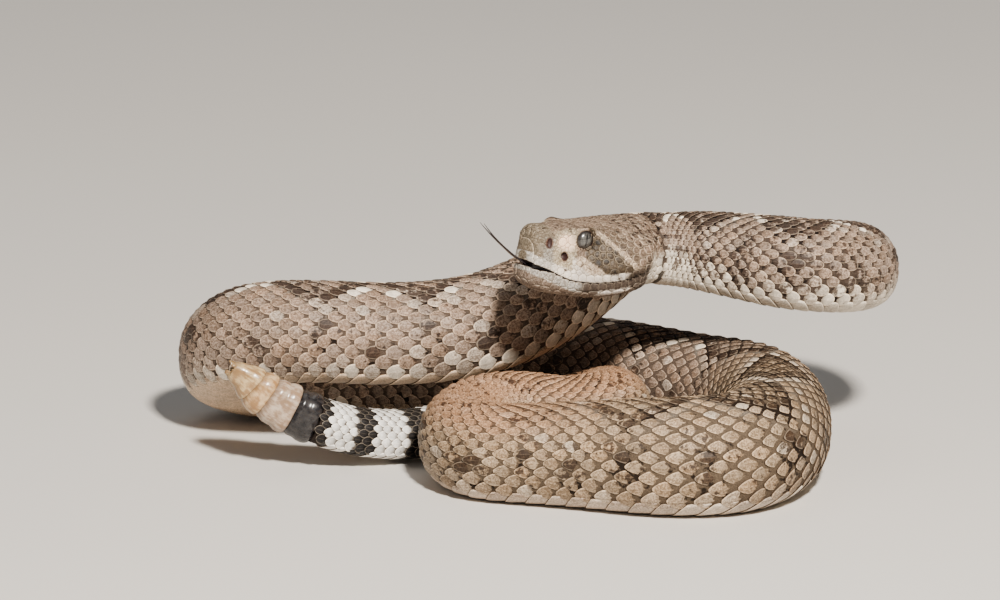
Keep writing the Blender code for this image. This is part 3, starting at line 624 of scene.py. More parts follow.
def skin_finish():
    """Dry, finely grained hide between the scales."""
    material, tree, shader = finish_nodes("hide")
    place = object_place(tree)
    grain = noise(tree, place, 2600.0, 4.0)
    tone = marked(tree, attribute(tree, "tone", "Color"), place)
    shaded = reckon_vector(tree, "SCALE", tone, scale=span(tree, grain, 0.3, 0.7, 0.6, 1.25))
    tree.links.new(shaded, shader.inputs["Base Color"])
    add_bump(tree, shader, grain, 0.4, 0.0001)
    shader.inputs["Roughness"].default_value = 0.75
    shader.inputs["Specular IOR Level"].default_value = 0.10
    return material


def make_mesh(name, points, faces, finish):
    """A mesh object at the origin, from points in millimetres and faces of any size."""
    mesh = bpy.data.meshes.new(name)
    mesh.from_pydata(((np.asarray(points) + FLOOR_SHIFT) * MM).tolist(), [], faces)
    mesh.update()
    mesh.shade_smooth()
    mesh.materials.append(finish)
    piece = bpy.data.objects.new(name, mesh)
    bpy.context.scene.collection.objects.link(piece)
    return piece


def set_colours(mesh, name, colours):
    """Store one colour for each point of a mesh."""
    layer = mesh.attributes.new(name, "FLOAT_COLOR", "POINT")
    rows = np.ones((len(mesh.vertices), 4))
    rows[:, :3] = colours
    layer.data.foreach_set("color", rows.ravel())


def set_values(mesh, name, values):
    """Store one number for each point of a mesh."""
    layer = mesh.attributes.new(name, "FLOAT", "POINT")
    layer.data.foreach_set("value", np.asarray(values, float).ravel())


def set_vectors(mesh, name, vectors):
    """Store one vector for each point of a mesh."""
    layer = mesh.attributes.new(name, "FLOAT_VECTOR", "POINT")
    layer.data.foreach_set("vector", np.asarray(vectors, float).ravel())


def loft_faces(rings, sides):
    """Faces of a closed loft whose ends are fans round two last points."""
    faces = []
    for r in range(rings - 1):
        for i in range(sides):
            j = (i + 1) % sides
            a, b = r * sides, (r + 1) * sides
            faces.append((a + i, b + i, b + j, a + j))
    last = (rings - 1) * sides
    for i in range(sides):
        j = (i + 1) % sides
        faces.append((i, j, rings * sides))
        faces.append((last + j, last + i, rings * sides + 1))
    return faces


def loft_points(rings):
    """The points of a loft's rings and the middles of its two ends."""
    return np.concatenate([*rings, rings[0].mean(0, keepdims=True), rings[-1].mean(0, keepdims=True)])


skin_rings = []
front_ring = head_ring(HEAD_SKIN_DEPTH)
front_middle = front_ring.mean(0)
for share, ahead in ((0.35, 0.34), (0.7, 0.26), (0.9, 0.13)):
    skin_rings.append(front_middle + (front_ring - front_middle) * share + FORWARD * ahead)
for behind in np.arange(HEAD_SKIN_DEPTH, HEAD_LENGTH - 0.1, HEAD_STEP):
    skin_rings.append(head_ring(behind))
head_points = len(skin_rings) * RING_POINTS
ring_turns = round_turns(RING_POINTS)
skin_travels = np.linspace(0.0, RATTLE_START - 0.2, int(RATTLE_START / SKIN_STEP))
for travel in skin_travels:
    skin_rings.append(on_body(travel, ring_turns, -SKIN_DEPTH))
skin_points = loft_points(skin_rings)
skin_faces = loft_faces(len(skin_rings), RING_POINTS)
skin = make_mesh("skin", skin_points, skin_faces, skin_finish())
even = np.full(len(skin_points), 0.5)
spine_row = (ring_turns / np.pi - 1) * (DORSAL_ROWS / 2 + BELLY_ROWS)
skin_row = np.concatenate([np.tile(spine_row, len(skin_rings)), [0, 0]])
skin_travel = np.concatenate([np.zeros(head_points), np.repeat(skin_travels, RING_POINTS), [0, RATTLE_START]])
skin_up = (skin_points[:, 2] - line_at(skin_travel)[0][:, 2]) / line_at(skin_travel)[1]
skin_tone = body_tone(skin_travel, skin_row, even, even, skin_up)
# The hide between the scales is darkened towards brown, most on the neck: partly its own dark colour, partly
# painted shade in the crevices between scales.
skin_tone = blend(skin_tone, DARK_BROWN, 0.70 + 0.15 * (1 - ramp(skin_travel, 60, 190)))
skin_tone[:head_points] = head_tone(skin_points[:head_points], even[:head_points], even[:head_points])
set_colours(skin.data, "tone", skin_tone * SKIN_SHADE)
skin_mark = body_mark(skin_travel, skin_row, even, even)
skin_mark[:head_points] = head_mark(skin_points[:head_points])
set_values(skin.data, "mark", skin_mark)
hide_tree = BVHTree.FromPolygons([Vector(p) for p in skin_points], skin_faces)


def cutting_body(name, points, faces, finish):
    """A hidden closed mesh that cuts the skin and lines the cut with its own finish."""
    piece = make_mesh(name, points, faces, finish)
    set_colours(piece.data, "tone", np.broadcast_to(np.array(HOLE_EDGE) * HOLE_SHADE, (len(points), 3)))
    piece.hide_render = True
    return piece


def ball(centre, radii, sides, rings):
    """Points and faces of an ellipsoid whose poles lie to the head's left and right."""
    around = round_turns(sides)
    rows = []
    for polar in np.pi * np.arange(1, rings) / rings:
        row = FORWARD * (radii[0] * math.sin(polar) * np.cos(around))[:, None]
        row = row + HEAD_UP * (radii[1] * math.sin(polar) * np.sin(around))[:, None]
        rows.append(centre + row + HEAD_LEFT * radii[2] * math.cos(polar))
    points = np.concatenate([*rows, [centre + HEAD_LEFT * radii[2]], [centre - HEAD_LEFT * radii[2]]])
    return points, [face[::-1] for face in loft_faces(len(rows), sides)]


def mouth_block(name, start, end, inner, outer, finish):
    """A closed wedge between the lips, from an inner to an outer line beside the head's middle."""
    places = np.linspace(start, end, max(3, int((end - start) / 0.8)))
    rings = []
    for behind in places:
        top = profile(MOUTH_HEIGHT, behind) - 0.02
        low = top - profile(MOUTH_OPENING, behind) + 0.04
        a, b = inner(behind), outer(behind)
        corners = ((a, low), (b, low), (b, top), (a, top))
        rings.append(np.array([head_point(behind, x, z) for x, z in corners]))
    points = np.concatenate(rings)
    faces = [(0, 1, 2, 3), tuple(len(points) - k for k in (1, 2, 3, 4))]
    for r in range(len(rings) - 1):
        for i in range(4):
            faces.append((4 * r + i, 4 * r + 4 + i, 4 * r + 4 + (i + 1) % 4, 4 * r + (i + 1) % 4))
    return cutting_body(name, points, faces, finish)


def web_edge(behind):
    """Half width of the flesh left between the lips' slits."""
    depth = 1.3 + 2.5 * (1 - ramp(behind, 6, 12))
    return max(profile(LIP_WIDTH, behind) - depth - 1.2 * (1 - ramp(behind, 3, 6)), 1.2)


# Near-black linings: painted shade inside the mouth and eye sockets, and over a dark red in the pits and
# nostrils.
mouth_lining = plain_finish("mouth_lining", MOUTH_DARK, 0.45)
pit_lining = plain_finish("pit_lining", LINING_RED, 0.6)
cutting_bodies = [
    mouth_block("mouth_front", -6.0, 3.0, lambda b: -BEYOND_LIPS, lambda b: BEYOND_LIPS, mouth_lining),
    mouth_block("mouth_left", 2.9, MOUTH_END, web_edge, lambda b: BEYOND_LIPS, mouth_lining),
    mouth_block("mouth_right", 2.9, MOUTH_END, lambda b: -BEYOND_LIPS, lambda b: -web_edge(b), mouth_lining),
]
for side in (1, -1):
    eye_middle = head_point(EYE_PLACE[0], side * EYE_PLACE[1], EYE_PLACE[2])
    holes = [("socket", eye_middle, (EYE_RADIUS, EYE_RADIUS + 0.45, EYE_RADIUS), mouth_lining)]
    for word, (behind, height, size), tall, deep in (("pit", PIT_PLACE, 1.15, 2.4),
                                                     ("nostril", NOSTRIL_PLACE, 1.9, 1.5)):
        out = profile(CHEEK_WIDTH, behind) - 0.3
        holes.append((word, head_point(behind, side * out, height), (size, size * tall, deep), pit_lining))
    for word, middle, radii, finish in holes:
        cutting_bodies.append(cutting_body(f"{word}_{side}", *ball(middle, radii, 28, 14), finish))
cut_group = bpy.data.collections.new("cutting bodies")
for piece in cutting_bodies:
    cut_group.objects.link(piece)
cut = skin.modifiers.new("cut", "BOOLEAN")
cut.operation = "DIFFERENCE"
cut.solver = "EXACT"
cut.operand_type = "COLLECTION"
cut.collection = cut_group
cut.material_mode = "TRANSFER"


def bake_modifiers(piece):
    """Turn what the piece's modifiers make into its plain mesh."""
    graph = bpy.context.evaluated_depsgraph_get()
    mesh = bpy.data.meshes.new_from_object(piece.evaluated_get(graph), preserve_all_data_layers=True,
                                           depsgraph=graph)
    piece.modifiers.clear()
    piece.data = mesh
    mesh.name = piece.name
    return mesh


hide = bake_modifiers(skin)
hide.set_sharp_from_angle(angle=math.radians(38))
# The cut faces come out white; they get the holes' dark red-brown, darkened further as painted shade inside
# the openings.
hide_tones = np.empty(4 * len(hide.vertices))
hide.attributes["tone"].data.foreach_get("color", hide_tones)
hide_tones = hide_tones.reshape(-1, 4)
hide_tones[hide_tones[:, :3].min(1) > 0.99, :3] = np.array(HOLE_EDGE) * HOLE_SHADE
hide.attributes["tone"].data.foreach_set("color", hide_tones.ravel())
for piece in cutting_bodies:
    bpy.data.objects.remove(piece, do_unlink=True)
bpy.data.collections.remove(cut_group)
flesh_nodes = [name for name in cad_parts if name.startswith(FLESH)]
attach(skin, "root")
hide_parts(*flesh_nodes)

# Scales of the back and sides
# Overlapping keeled scales in 27 rows, horn over hide, each rooted in the skin with a free
# rounded end towards the tail. A node tree lays one scale shape on every root.
BELLY_TURN = math.radians(50.0)
TAIL_ROWS = 17
SCALE_PITCH = ((0, 0.30), (8, 0.30), (22, 0.32), (45, 0.36), (110, 0.36), (200, 0.42), (262, 0.43),
               (290, 0.35), (490, 0.36), (540, 0.42), (700, 0.42), (760, 0.36), (820, 0.36), (840, 0.40))
BEND_ALLOWANCE = 0.7
ROW_SWELL = 0.40
LAST_ROW_SWELL = 0.55
SCALE_PATCH = 0.003
SCALE_LIFT = -0.29
SCALE_GIRTH = 17.0
SIZE_SPREAD = 0.05
SCALE_LEAN = 0.022
TAIL_COAT = TAIL_START - 4.0
ROUND_LINES = ((-0.52, 0.22, -0.95), (-0.40, 0.46, -0.78), (-0.20, 0.62, -0.55), (0.02, 0.66, -0.34),
               (0.20, 0.60, -0.20), (0.34, 0.44, -0.16), (0.42, 0.26, -0.20), (0.46, 0.09, -0.30))
LANCE_LINES = ((-0.52, 0.26, -0.95), (-0.38, 0.48, -0.78), (-0.18, 0.62, -0.54), (0.04, 0.62, -0.34),
               (0.22, 0.50, -0.21), (0.36, 0.33, -0.16), (0.46, 0.16, -0.20), (0.51, 0.04, -0.30))
SCALE_COLUMNS = (-1.0, -0.84, -0.5, -0.16, 0.0, 0.16, 0.5, 0.84, 1.0)
SCALE_DROP = 0.50
KEEL_HEIGHTS = (0.10, 0.14)
PERIMETER_TURNS = np.linspace(0, np.pi, 400)
pitches = np.array([profile(SCALE_PITCH, travel) for travel in TRAVEL])
pitches = pitches * LINE[:, 3] / (1 + BEND_ALLOWANCE * LINE[:, 3] * BENDING)
STEPS = np.concatenate([[0.0], np.cumsum(np.diff(TRAVEL) / pitches[1:])])


def scale_shape(name, shape_lines, keel_height):
    """One unit scale, x to the tail and z outwards, in steps, row widths and millimetres."""
    points, rim, keel, base = [], [], [], []
    tip = shape_lines[-1][0]
    for x, wide, high in shape_lines:
        for y in SCALE_COLUMNS:
            raised = float(ramp(x, -0.45, -0.1) * (1 - 0.8 * ramp(x, 0.3, 0.5)))
            ridge = keel_height * (abs(y) < 0.01) * raised
            points.append((x, y * wide, high - SCALE_DROP * wide * abs(y) ** 2.2 + ridge))
            # rim and base steer the finish: the pale rim is partly painted highlight; the sunken front end is
            # darkened as dirt and painted shade, the side walls as painted shade.
            end = min((x + 0.52) / 0.3, (tip - x) / 0.40, 1.0)
            rim.append(min(1 - abs(y), end))
            keel.append(float(abs(y) < 0.01))
            base.append(1 - float(ramp(x, -0.42, 0.02)))
    columns, lines = len(SCALE_COLUMNS), len(shape_lines)
    faces = []
    for i in range(lines - 1):
        for j in range(columns - 1):
            a = i * columns + j
            faces.append((a, a + columns, a + columns + 1, a + 1))
    edge = [(lines - 1) * columns + j for j in range(columns)]
    edge += [i * columns + columns - 1 for i in range(lines - 2, -1, -1)]
    edge += list(range(columns - 2, -1, -1))
    edge += [i * columns for i in range(1, lines - 1)]
    low = len(points)
    for corner in edge:
        x, y, z = points[corner]
        points.append((x * 0.97, y * 0.94, z - 0.34))
        rim.append(-0.5)
        keel.append(0.0)
        base.append(1.0)
    for k in range(len(edge)):
        n = (k + 1) % len(edge)
        faces.append((edge[k], low + k, low + n, edge[n]))
    faces.append(tuple(low + k for k in range(len(edge) - 1, -1, -1)))
    mesh = bpy.data.meshes.new(name)
    mesh.from_pydata(points, [], faces)
    mesh.update()
    mesh.shade_smooth()
    set_values(mesh, "rim", rim)
    set_values(mesh, "keel", keel)
    set_values(mesh, "base", base)
    set_vectors(mesh, "patch", np.array(points) * (0.8, 0.5, 0))
    return bpy.data.objects.new(name, mesh)


def scale_tree():
    """The node tree that lays a shape on roots, turned by two directions stored on them."""
    tree = bpy.data.node_groups.new("lay scales", "GeometryNodeTree")
    inputs = (("Roots", "Geometry"), ("Scale", "Object"), ("Finish", "Material"), ("Size spread", "Float"),
              ("Lean", "Float"), ("Seed", "Int"))
    for label, kind in inputs:
        tree.interface.new_socket(label, in_out="INPUT", socket_type="NodeSocket" + kind)
    tree.interface.new_socket("Coat", in_out="OUTPUT", socket_type="NodeSocketGeometry")
    start = tree.nodes.new("NodeGroupInput").outputs
    stored = {}
    for label in ("faces", "lies", "size"):
        settings = {"data_type": "FLOAT_VECTOR", "Name": label}
        stored[label] = add_node(tree, "GeometryNodeInputNamedAttribute", settings).outputs[0]
    settings = {"primary_axis": "Z", "secondary_axis": "X", 0: stored["faces"], 1: stored["lies"]}
    stand = add_node(tree, "FunctionNodeAxesToRotation", settings).outputs[0]
    least = reckon_vector(tree, "SCALE", (-1, -1, -1), scale=start["Lean"])
    most = reckon_vector(tree, "SCALE", (1, 1, 1), scale=start["Lean"])
    settings = {"data_type": "FLOAT_VECTOR", 0: least, 1: most, 8: start["Seed"]}
    lean = add_node(tree, "FunctionNodeRandomValue", settings).outputs[0]
    settings = {"rotation_space": "LOCAL", 0: stand, 1: lean}
    turn = add_node(tree, "FunctionNodeRotateRotation", settings).outputs[0]
    small = reckon(tree, "SUBTRACT", 1.0, start["Size spread"])
    large = reckon(tree, "ADD", 1.0, start["Size spread"])
    settings = {"data_type": "FLOAT", 2: small, 3: large, 8: start["Seed"]}
    spread = add_node(tree, "FunctionNodeRandomValue", settings).outputs[1]
    grown = reckon_vector(tree, "SCALE", stored["size"], scale=spread)
    shape = add_node(tree, "GeometryNodeObjectInfo", {0: start["Scale"]}).outputs["Geometry"]
    settings = {"Points": start["Roots"], "Instance": shape, "Rotation": turn, "Scale": grown}
    laid = add_node(tree, "GeometryNodeInstanceOnPoints", settings).outputs[0]
    real = add_node(tree, "GeometryNodeRealizeInstances", {0: laid}).outputs[0]
    dressed = add_node(tree, "GeometryNodeSetMaterial", {"Geometry": real, "Material": start["Finish"]})
    end = tree.nodes.new("NodeGroupOutput")
    tree.links.new(dressed.outputs[0], end.inputs[0])
    return tree


def scale_finish():
    """Horny scale: tone, brown markings, dark specks, a pale rim partly painted highlight, a painted
    highlight on the keel, and a dark root that is dirt and painted shade.
    """
    material, tree, shader = finish_nodes("scales")
    place = object_place(tree)
    tone = attribute(tree, "tone", "Color")
    rim = attribute(tree, "rim")
    fine = noise(tree, place, 1500.0, 5.0, 0.75)
    broad = noise(tree, place, 300.0, 3.0)
    shaded = reckon_vector(tree, "SCALE", tone, scale=span(tree, broad, 0.32, 0.68, 0.78, 1.22))
    bright = add_node(tree, "ShaderNodeRGBToBW", {0: tone}).outputs[0]
    patchy = reckon(tree, "MULTIPLY_ADD", broad, 0.30, fine)
    amount = span(tree, bright, 0.36, 0.66, 0.80, 0.22)
    specks = reckon(tree, "MULTIPLY", span(tree, patchy, 0.60, 0.69), amount)
    dark = reckon_vector(tree, "MULTIPLY", shaded, (0.30, 0.255, 0.215))
    speckled = marked(tree, colour_mix(tree, specks, shaded, dark), place)
    # Pale rim round each scale: partly its own pale edge, partly a painted highlight where the edge catches
    # the light; the keel gets a painted highlight too.
    pale = reckon_vector(tree, "MULTIPLY_ADD", speckled, (1.35, 1.30, 1.22), (0.17, 0.14, 0.105))
    lit_pale_rim = colour_mix(tree, span(tree, rim, 0.26, 0.14, 0.0, 0.80), speckled, pale)
    ridged = colour_mix(tree, span(tree, attribute(tree, "keel"), 0.5, 1.0, 0.0, 0.25), lit_pale_rim, pale)
    # Painted shade: the side walls down in the crevices turn near black, and the sunken front end of each
    # scale darkens, partly as dirt and partly as painted shade.
    root = reckon_vector(tree, "MULTIPLY", shaded, (0.10, 0.075, 0.055))
    dirt_and_shade = colour_mix(tree, reckon(tree, "MULTIPLY", attribute(tree, "base"), 0.62), ridged, root)
    rooted = colour_mix(tree, span(tree, rim, 0.10, 0.01), dirt_and_shade, root)
    tree.links.new(rooted, shader.inputs["Base Color"])
    tree.links.new(span(tree, fine, 0.3, 0.7, 0.44, 0.62), shader.inputs["Roughness"])
    shader.inputs["Specular IOR Level"].default_value = 0.20
    add_bump(tree, shader, fine, 0.45, 0.00014)
    return material


def row_turns(rows):
    """The turn of each row of scales from the belly's left edge over the back, and its width.

    Widths are for a girth of one, and rows are broader the nearer they are to the belly."""
    mid_body = TRAVEL[-1] * 0.3
    around = lengths_along(on_body(mid_body, PERIMETER_TURNS, 0.0)) / line_at(mid_body)[1]
    low = np.interp(BELLY_TURN, PERIMETER_TURNS, around)
    away = np.abs(np.arange(rows) - (rows - 1) / 2) / ((rows - 1) / 2)
    wide = 1 + ROW_SWELL * away ** 1.6 + LAST_ROW_SWELL * away ** 12
    wide = wide / wide.sum() * 2 * (around[-1] - low)
    middle = low + np.cumsum(wide) - wide / 2
    flipped = middle > around[-1]
    turns = np.interp(np.where(flipped, 2 * around[-1] - middle, middle), around, PERIMETER_TURNS)
    return np.where(flipped, 2 * np.pi - turns, turns), wide


def lay_scales(name, start, end, rows, shape, fill, seed):
    """One piece of the coat between two places along the body."""
    turns, wides = row_turns(rows)
    first, last = np.interp((start, end), TRAVEL, STEPS)
    travel, turn, wide, row = [], [], [], []
    for r in range(rows):
        offset = 0.5 * (r % 2)
        at = np.arange(math.ceil(first - offset), math.ceil(last - offset)) + offset
        travel.append(np.interp(at, STEPS, TRAVEL))
        turn.append(np.full(len(at), turns[r]))
        wide.append(np.full(len(at), wides[r]))
        row.append(np.full(len(at), r - (rows - 1) / 2))
    travel, turn, wide, row = (np.concatenate(part) for part in (travel, turn, wide, row))
    random = np.random.default_rng(seed)
    chance, second = random.random(len(travel)), random.random(len(travel))
    girth = line_at(travel)[1]
    place = on_body(travel, turn, SCALE_LIFT)
    to_tail = on_body(travel + 0.5, turn, 0.0) - on_body(travel - 0.5, turn, 0.0)
    around = on_body(travel, turn + 0.01, 0.0) - on_body(travel, turn - 0.01, 0.0)
    faces = unit(np.cross(to_tail, around))
    stretch = np.linalg.norm(to_tail, axis=1)
    long = np.interp(travel, TRAVEL, pitches) * np.clip(stretch, 0.3, 2.2) ** 0.8
    size = np.stack([long * fill, wide * girth * fill, girth / SCALE_GIRTH], -1)
    spine_row = row * (DORSAL_ROWS - 1) / (rows - 1)
    tone = body_tone(travel, spine_row, chance, second, faces[:, 2])
    roots = make_mesh(name, place, [], finish_of_scales)
    unwrapped = np.stack([travel / TRAVEL[-1], turn / (2 * np.pi), np.zeros(len(turn))], -1)
    stored = {"faces": faces, "lies": to_tail, "size": size * MM, "root": 0.01 + 0.98 * unwrapped}
    for label, vectors in stored.items():
        set_vectors(roots.data, label, vectors)
    set_colours(roots.data, "tone", tone)
    set_values(roots.data, "mark", body_mark(travel, spine_row, chance, second))
    settings = {"Scale": shape, "Finish": finish_of_scales, "Size spread": SIZE_SPREAD, "Lean": SCALE_LEAN,
                "Seed": seed}
    modifier = roots.modifiers.new("lay scales", "NODES")
    modifier.node_group = laying_tree
    for item in laying_tree.interface.items_tree:
        if item.name in settings:
            modifier[item.identifier] = settings[item.name]
    mesh = bake_modifiers(roots)
    bake_map(mesh)
    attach(roots, "root")


def store_bake_map(mesh, places):
    """Write a map with one place for each point of the mesh."""
    corners = np.empty(len(mesh.loops), dtype=np.int32)
    mesh.loops.foreach_get("vertex_index", corners)
    layer = mesh.uv_layers.new(name="OFBake")
    layer.data.foreach_set("uv", np.asarray(places, float)[corners].ravel())


def bake_map(mesh):
    """Give each scale a small patch at its root's place on the unwrapped skin."""
    count = len(mesh.vertices)
    root, patch = np.empty(3 * count), np.empty(3 * count)
    mesh.attributes["root"].data.foreach_get("vector", root)
    mesh.attributes["patch"].data.foreach_get("vector", patch)
    places = root.reshape(-1, 3)[:, :2] + SCALE_PATCH * patch.reshape(-1, 3)[:, :2]
    store_bake_map(mesh, places)
    for label in ("root", "patch"):
        mesh.attributes.remove(mesh.attributes[label])


round_scale = scale_shape("round scale", ROUND_LINES, KEEL_HEIGHTS[0])
lance_scale = scale_shape("pointed scale", LANCE_LINES, KEEL_HEIGHTS[1])
finish_of_scales = scale_finish()
laying_tree = scale_tree()
coat = (
    ("scales_nape", 1.0, lance_scale, 1.0, "neck_skin"),
    ("scales_neck_front", 40.0, round_scale, 1.04, "neck_skin"),
    ("scales_neck_back", LENGTH_START["neck_loop"] + 30, round_scale, 1.08, "neck_skin"),
    ("scales_upper_coil", LENGTH_START["torso_rise"], round_scale, 1.17, "body_skin"),
    ("scales_under_coil", LENGTH_START["torso_under"], lance_scale, 1.08, "body_skin"),
    ("scales_front_coil", LENGTH_START["ring_side"], lance_scale, 1.10, "dusty_skin"),
    ("scales_front_bend", LENGTH_START["front_bend"], lance_scale, 1.10, "dusty_skin"),
    ("scales_inner_coil", LENGTH_START["inner"], lance_scale, 1.0, "dusty_skin"),
)
coat_ends = [start for _, start, *_ in coat[1:]] + [TAIL_COAT]
for seed, ((name, start, shape, fill, slot), end) in enumerate(zip(coat, coat_ends)):
    lay_scales(name, start, end, DORSAL_ROWS, shape, fill, seed + 1)
lay_scales("scales_tail", TAIL_COAT, RATTLE_START - 0.6, TAIL_ROWS, lance_scale, 1.04, 11)
for shape in (round_scale, lance_scale):
    bpy.data.objects.remove(shape, do_unlink=True)

# Belly scutes
# One broad smooth plate of horn across the belly for each row of scales, with its free
# edge to the tail; on the floor the belly lies flat on them.
SCUTE_LINES = ((-0.62, -0.78), (-0.40, -0.58), (-0.10, -0.42), (0.20, -0.31), (0.44, -0.26), (0.56, -0.31))
SCUTE_ROOT = -0.85
SCUTE_COLUMNS = 27
SCUTE_TURN = BELLY_TURN + math.radians(5.0)
SCUTE_BOW = 0.75
SCUTE_OFFSET = 0.30
TORSO_BELLY = (0.66, 0.47, 0.31)


def lay_scutes(name, start, end, seed):
    """The broad plates under one length of the body, as one mesh."""
    first, last = np.interp((start, end), TRAVEL, STEPS)
    middles = np.arange(math.ceil(first), math.floor(last)) + SCUTE_OFFSET
    random = np.random.default_rng(seed)
    chance = random.random(len(middles))
    lines = np.array(SCUTE_LINES + ((0.54, SCUTE_ROOT), (-0.60, SCUTE_ROOT)))
    turns = np.linspace(-SCUTE_TURN, SCUTE_TURN, SCUTE_COLUMNS)
    pointed = 1 - 0.22 * np.abs(turns / SCUTE_TURN) ** 6
    bowed = SCUTE_BOW * (1 - np.abs(turns / SCUTE_TURN) ** 1.5)
    at = middles[:, None, None] + lines[None, None, :, 0] * pointed[None, :, None] + bowed[None, :, None]
    travel = np.interp(at, STEPS, TRAVEL)
    lift = np.broadcast_to(lines[None, None, :, 1], travel.shape)
    lift = lift - 0.12 * (np.abs(turns / SCUTE_TURN) ** 8)[None, :, None]
    turn = np.broadcast_to(turns[None, :, None], travel.shape)
    points = on_body(travel, turn, lift)
    sides = len(lines)
    per_plate = SCUTE_COLUMNS * sides + 2
    faces = []
    shape_faces = loft_faces(SCUTE_COLUMNS, sides)
    for k in range(len(points)):
        faces += [tuple(k * per_plate + corner for corner in face) for face in shape_faces]
    places = np.concatenate([loft_points(list(plate)) for plate in points])
    edge = np.array([0.5, 1.0, 1.0, 1.0, 0.45, 0.0, -0.5, -0.5])
    rim = np.tile(np.concatenate([np.tile(edge, SCUTE_COLUMNS), [0.5, 0.5]]), len(points))
    away = np.tile(np.concatenate([np.repeat(np.abs(turns / SCUTE_TURN), sides), [1, 1]]), len(points))
    at_plate = np.repeat(np.interp(middles, STEPS, TRAVEL), per_plate)
    shade = np.repeat(chance, per_plate)
    tone = blend(np.broadcast_to(np.array(BELLY_CREAM), places.shape), CHIN_TAN_WITH_SHADE, 0.30 * shade)
    tone = blend(tone, TORSO_BELLY, 0.8 * ramp(at_plate, 150, 230) * (1 - ramp(at_plate, 420, 520)))
    tone = blend(tone, DARK_BROWN, 0.30 * (away > 0.86) * (shade > 0.55) * ramp(at_plate, 120, 200))
    tone = blend(tone, DUST, 0.30 * ramp(at_plate, LENGTH_START["ring_side"], LENGTH_START["front_bend"]))
    plates = make_mesh(name, places, faces, finish_of_scales)
    set_colours(plates.data, "tone", ringed(tone, at_plate, 0.0))
    set_values(plates.data, "rim", rim)
    set_values(plates.data, "keel", np.zeros(len(rim)))
    set_values(plates.data, "mark", np.full(len(rim), 0.08))
    root = np.stack([at_plate / TRAVEL[-1], np.full(len(at_plate), 0.5)], -1) * 0.98 + 0.01
    local = np.tile(np.concatenate([np.stack([np.tile(lines[:, 0], SCUTE_COLUMNS),
                                              np.repeat(turns / SCUTE_TURN, sides)], -1) * 0.5,
                                    [[0, -0.5], [0, 0.5]]]), (len(points), 1))
    store_bake_map(plates.data, root + SCALE_PATCH * local)
    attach(plates, "root")


lay_scutes("scutes_belly", 2.0, TAIL_COAT, 21)
lay_scutes("scutes_tail", TAIL_COAT, RATTLE_START - 3.0, 22)

# Plates of the head
# Horn plates that fit edge to edge: rostral and nasals on the snout, a brow plate over each
# eye, lip plates, a ring round each eye, and small keeled scales on crown and cheeks.
LIP_PLATES = 15
LIP_SPACING = 2.42
EYE_RING = (200, 226, 252, 278, 304, 330, 356, 22)
SNOUT_PLATES = (((2.1, 6.2, -0.4), 1.7), ((6.4, 7.6, 1.8), 1.2), ((1.5, 1.7, 5.6), 1.3),
                ((3.6, 3.8, 5.6), 1.2), ((6.4, 5.6, 5.6), 1.2), ((9.6, 7.0, 5.8), 1.3),
                ((12.6, 8.8, 3.6), 1.8), ((12.5, 9.6, 0.6), 1.3), ((9.2, 8.2, 2.4), 1.5),
                ((8.0, 8.6, -0.4), 1.0))
PLATE_GAP = 0.05
PLATE_SEED = 5
PLATE_POINTS = 12
BIG_PLATE_POINTS = 28
SCATTER_TRIES = 26000
NAPE_PLATES_END = 47.6


def near_hide(place):
    """Nearest place on the skin, and the way that it faces."""
    spot, facing = hide_tree.find_nearest(Vector(place))[:2]
    return np.array(spot), np.array(facing)


def curve_place(behind, reach, side, start):
    """Place on the head's skin so far along its section from the lips, crown or chin."""
    half = head_ring(behind)[SECTION_HALVES[side]]
    curve = {"upper lip": half[LOW_POINTS:], "crown": half[:LOW_POINTS - 1:-1],
             "lower lip": half[LOW_POINTS - 1::-1], "chin": half[:LOW_POINTS]}[start]
    return rows_at(reach, lengths_along(curve), curve)


def fixed_plates():
    """Middles of the named plates: place, weight, jaw (1 upper, -1 lower), outline or None."""
    rows = [(head_point(0.0, 0, -1.8), 2.4, 1, (3.7, 4.9, 0.0, 0.72)),
            (head_point(0.3, 0, -9.2), 1.3, -1, None)]
    rows += [(head_point(0.3, aside, -1.8), 2.2, 1, ()) for aside in (-3.0, 3.0)]
    for side in (1, -1):
        for i in range(LIP_PLATES):
            behind = 2.3 + i * LIP_SPACING
            rows.append((curve_place(behind, 1.15, side, "upper lip"), 1.2, 1, None))
            rows.append((curve_place(behind - 0.3, 1.2, side, "lower lip"), 1.25, -1, None))
        for (behind, aside, height), weight in SNOUT_PLATES:
            rows.append((head_point(behind, side * aside, height), weight, 1, None))
        for angle in EYE_RING:
            behind = EYE_PLACE[0] + 4.2 * math.cos(math.radians(angle))
            height = EYE_PLACE[2] + 4.2 * math.sin(math.radians(angle))
            rows.append((head_point(behind, side * 11.0, height), 1.0, 1, None))
        for behind in (14.6, 17.2, 19.8):
            outline = (4.4, 2.4, 0.12 * side, 0.8) if behind == 17.2 else ()
            rows.append((head_point(behind, side * 8.9, 8.4), 2.1, 1, outline))
        for behind in (6.5, 9.3, 12.1):
            outline = (4.2, 1.9, 0.0, 0.8) if behind == 9.3 else ()
            rows.append((curve_place(behind, 2.3, side, "chin"), 1.9, -1, outline))
    return rows


def wanted_spacing(behind, aside, jaw):
    """How far apart the small scales stand at a place on the head."""
    if jaw < 0:
        return 2.2 + 0.5 * ramp(behind, 10, 30) - 1.3 * ramp(behind, 33, 39)
    return 1.25 + 0.5 * ramp(behind, 8, 44) + 0.45 * ramp(abs(aside), 8, 12) * ramp(behind, 10, 20)


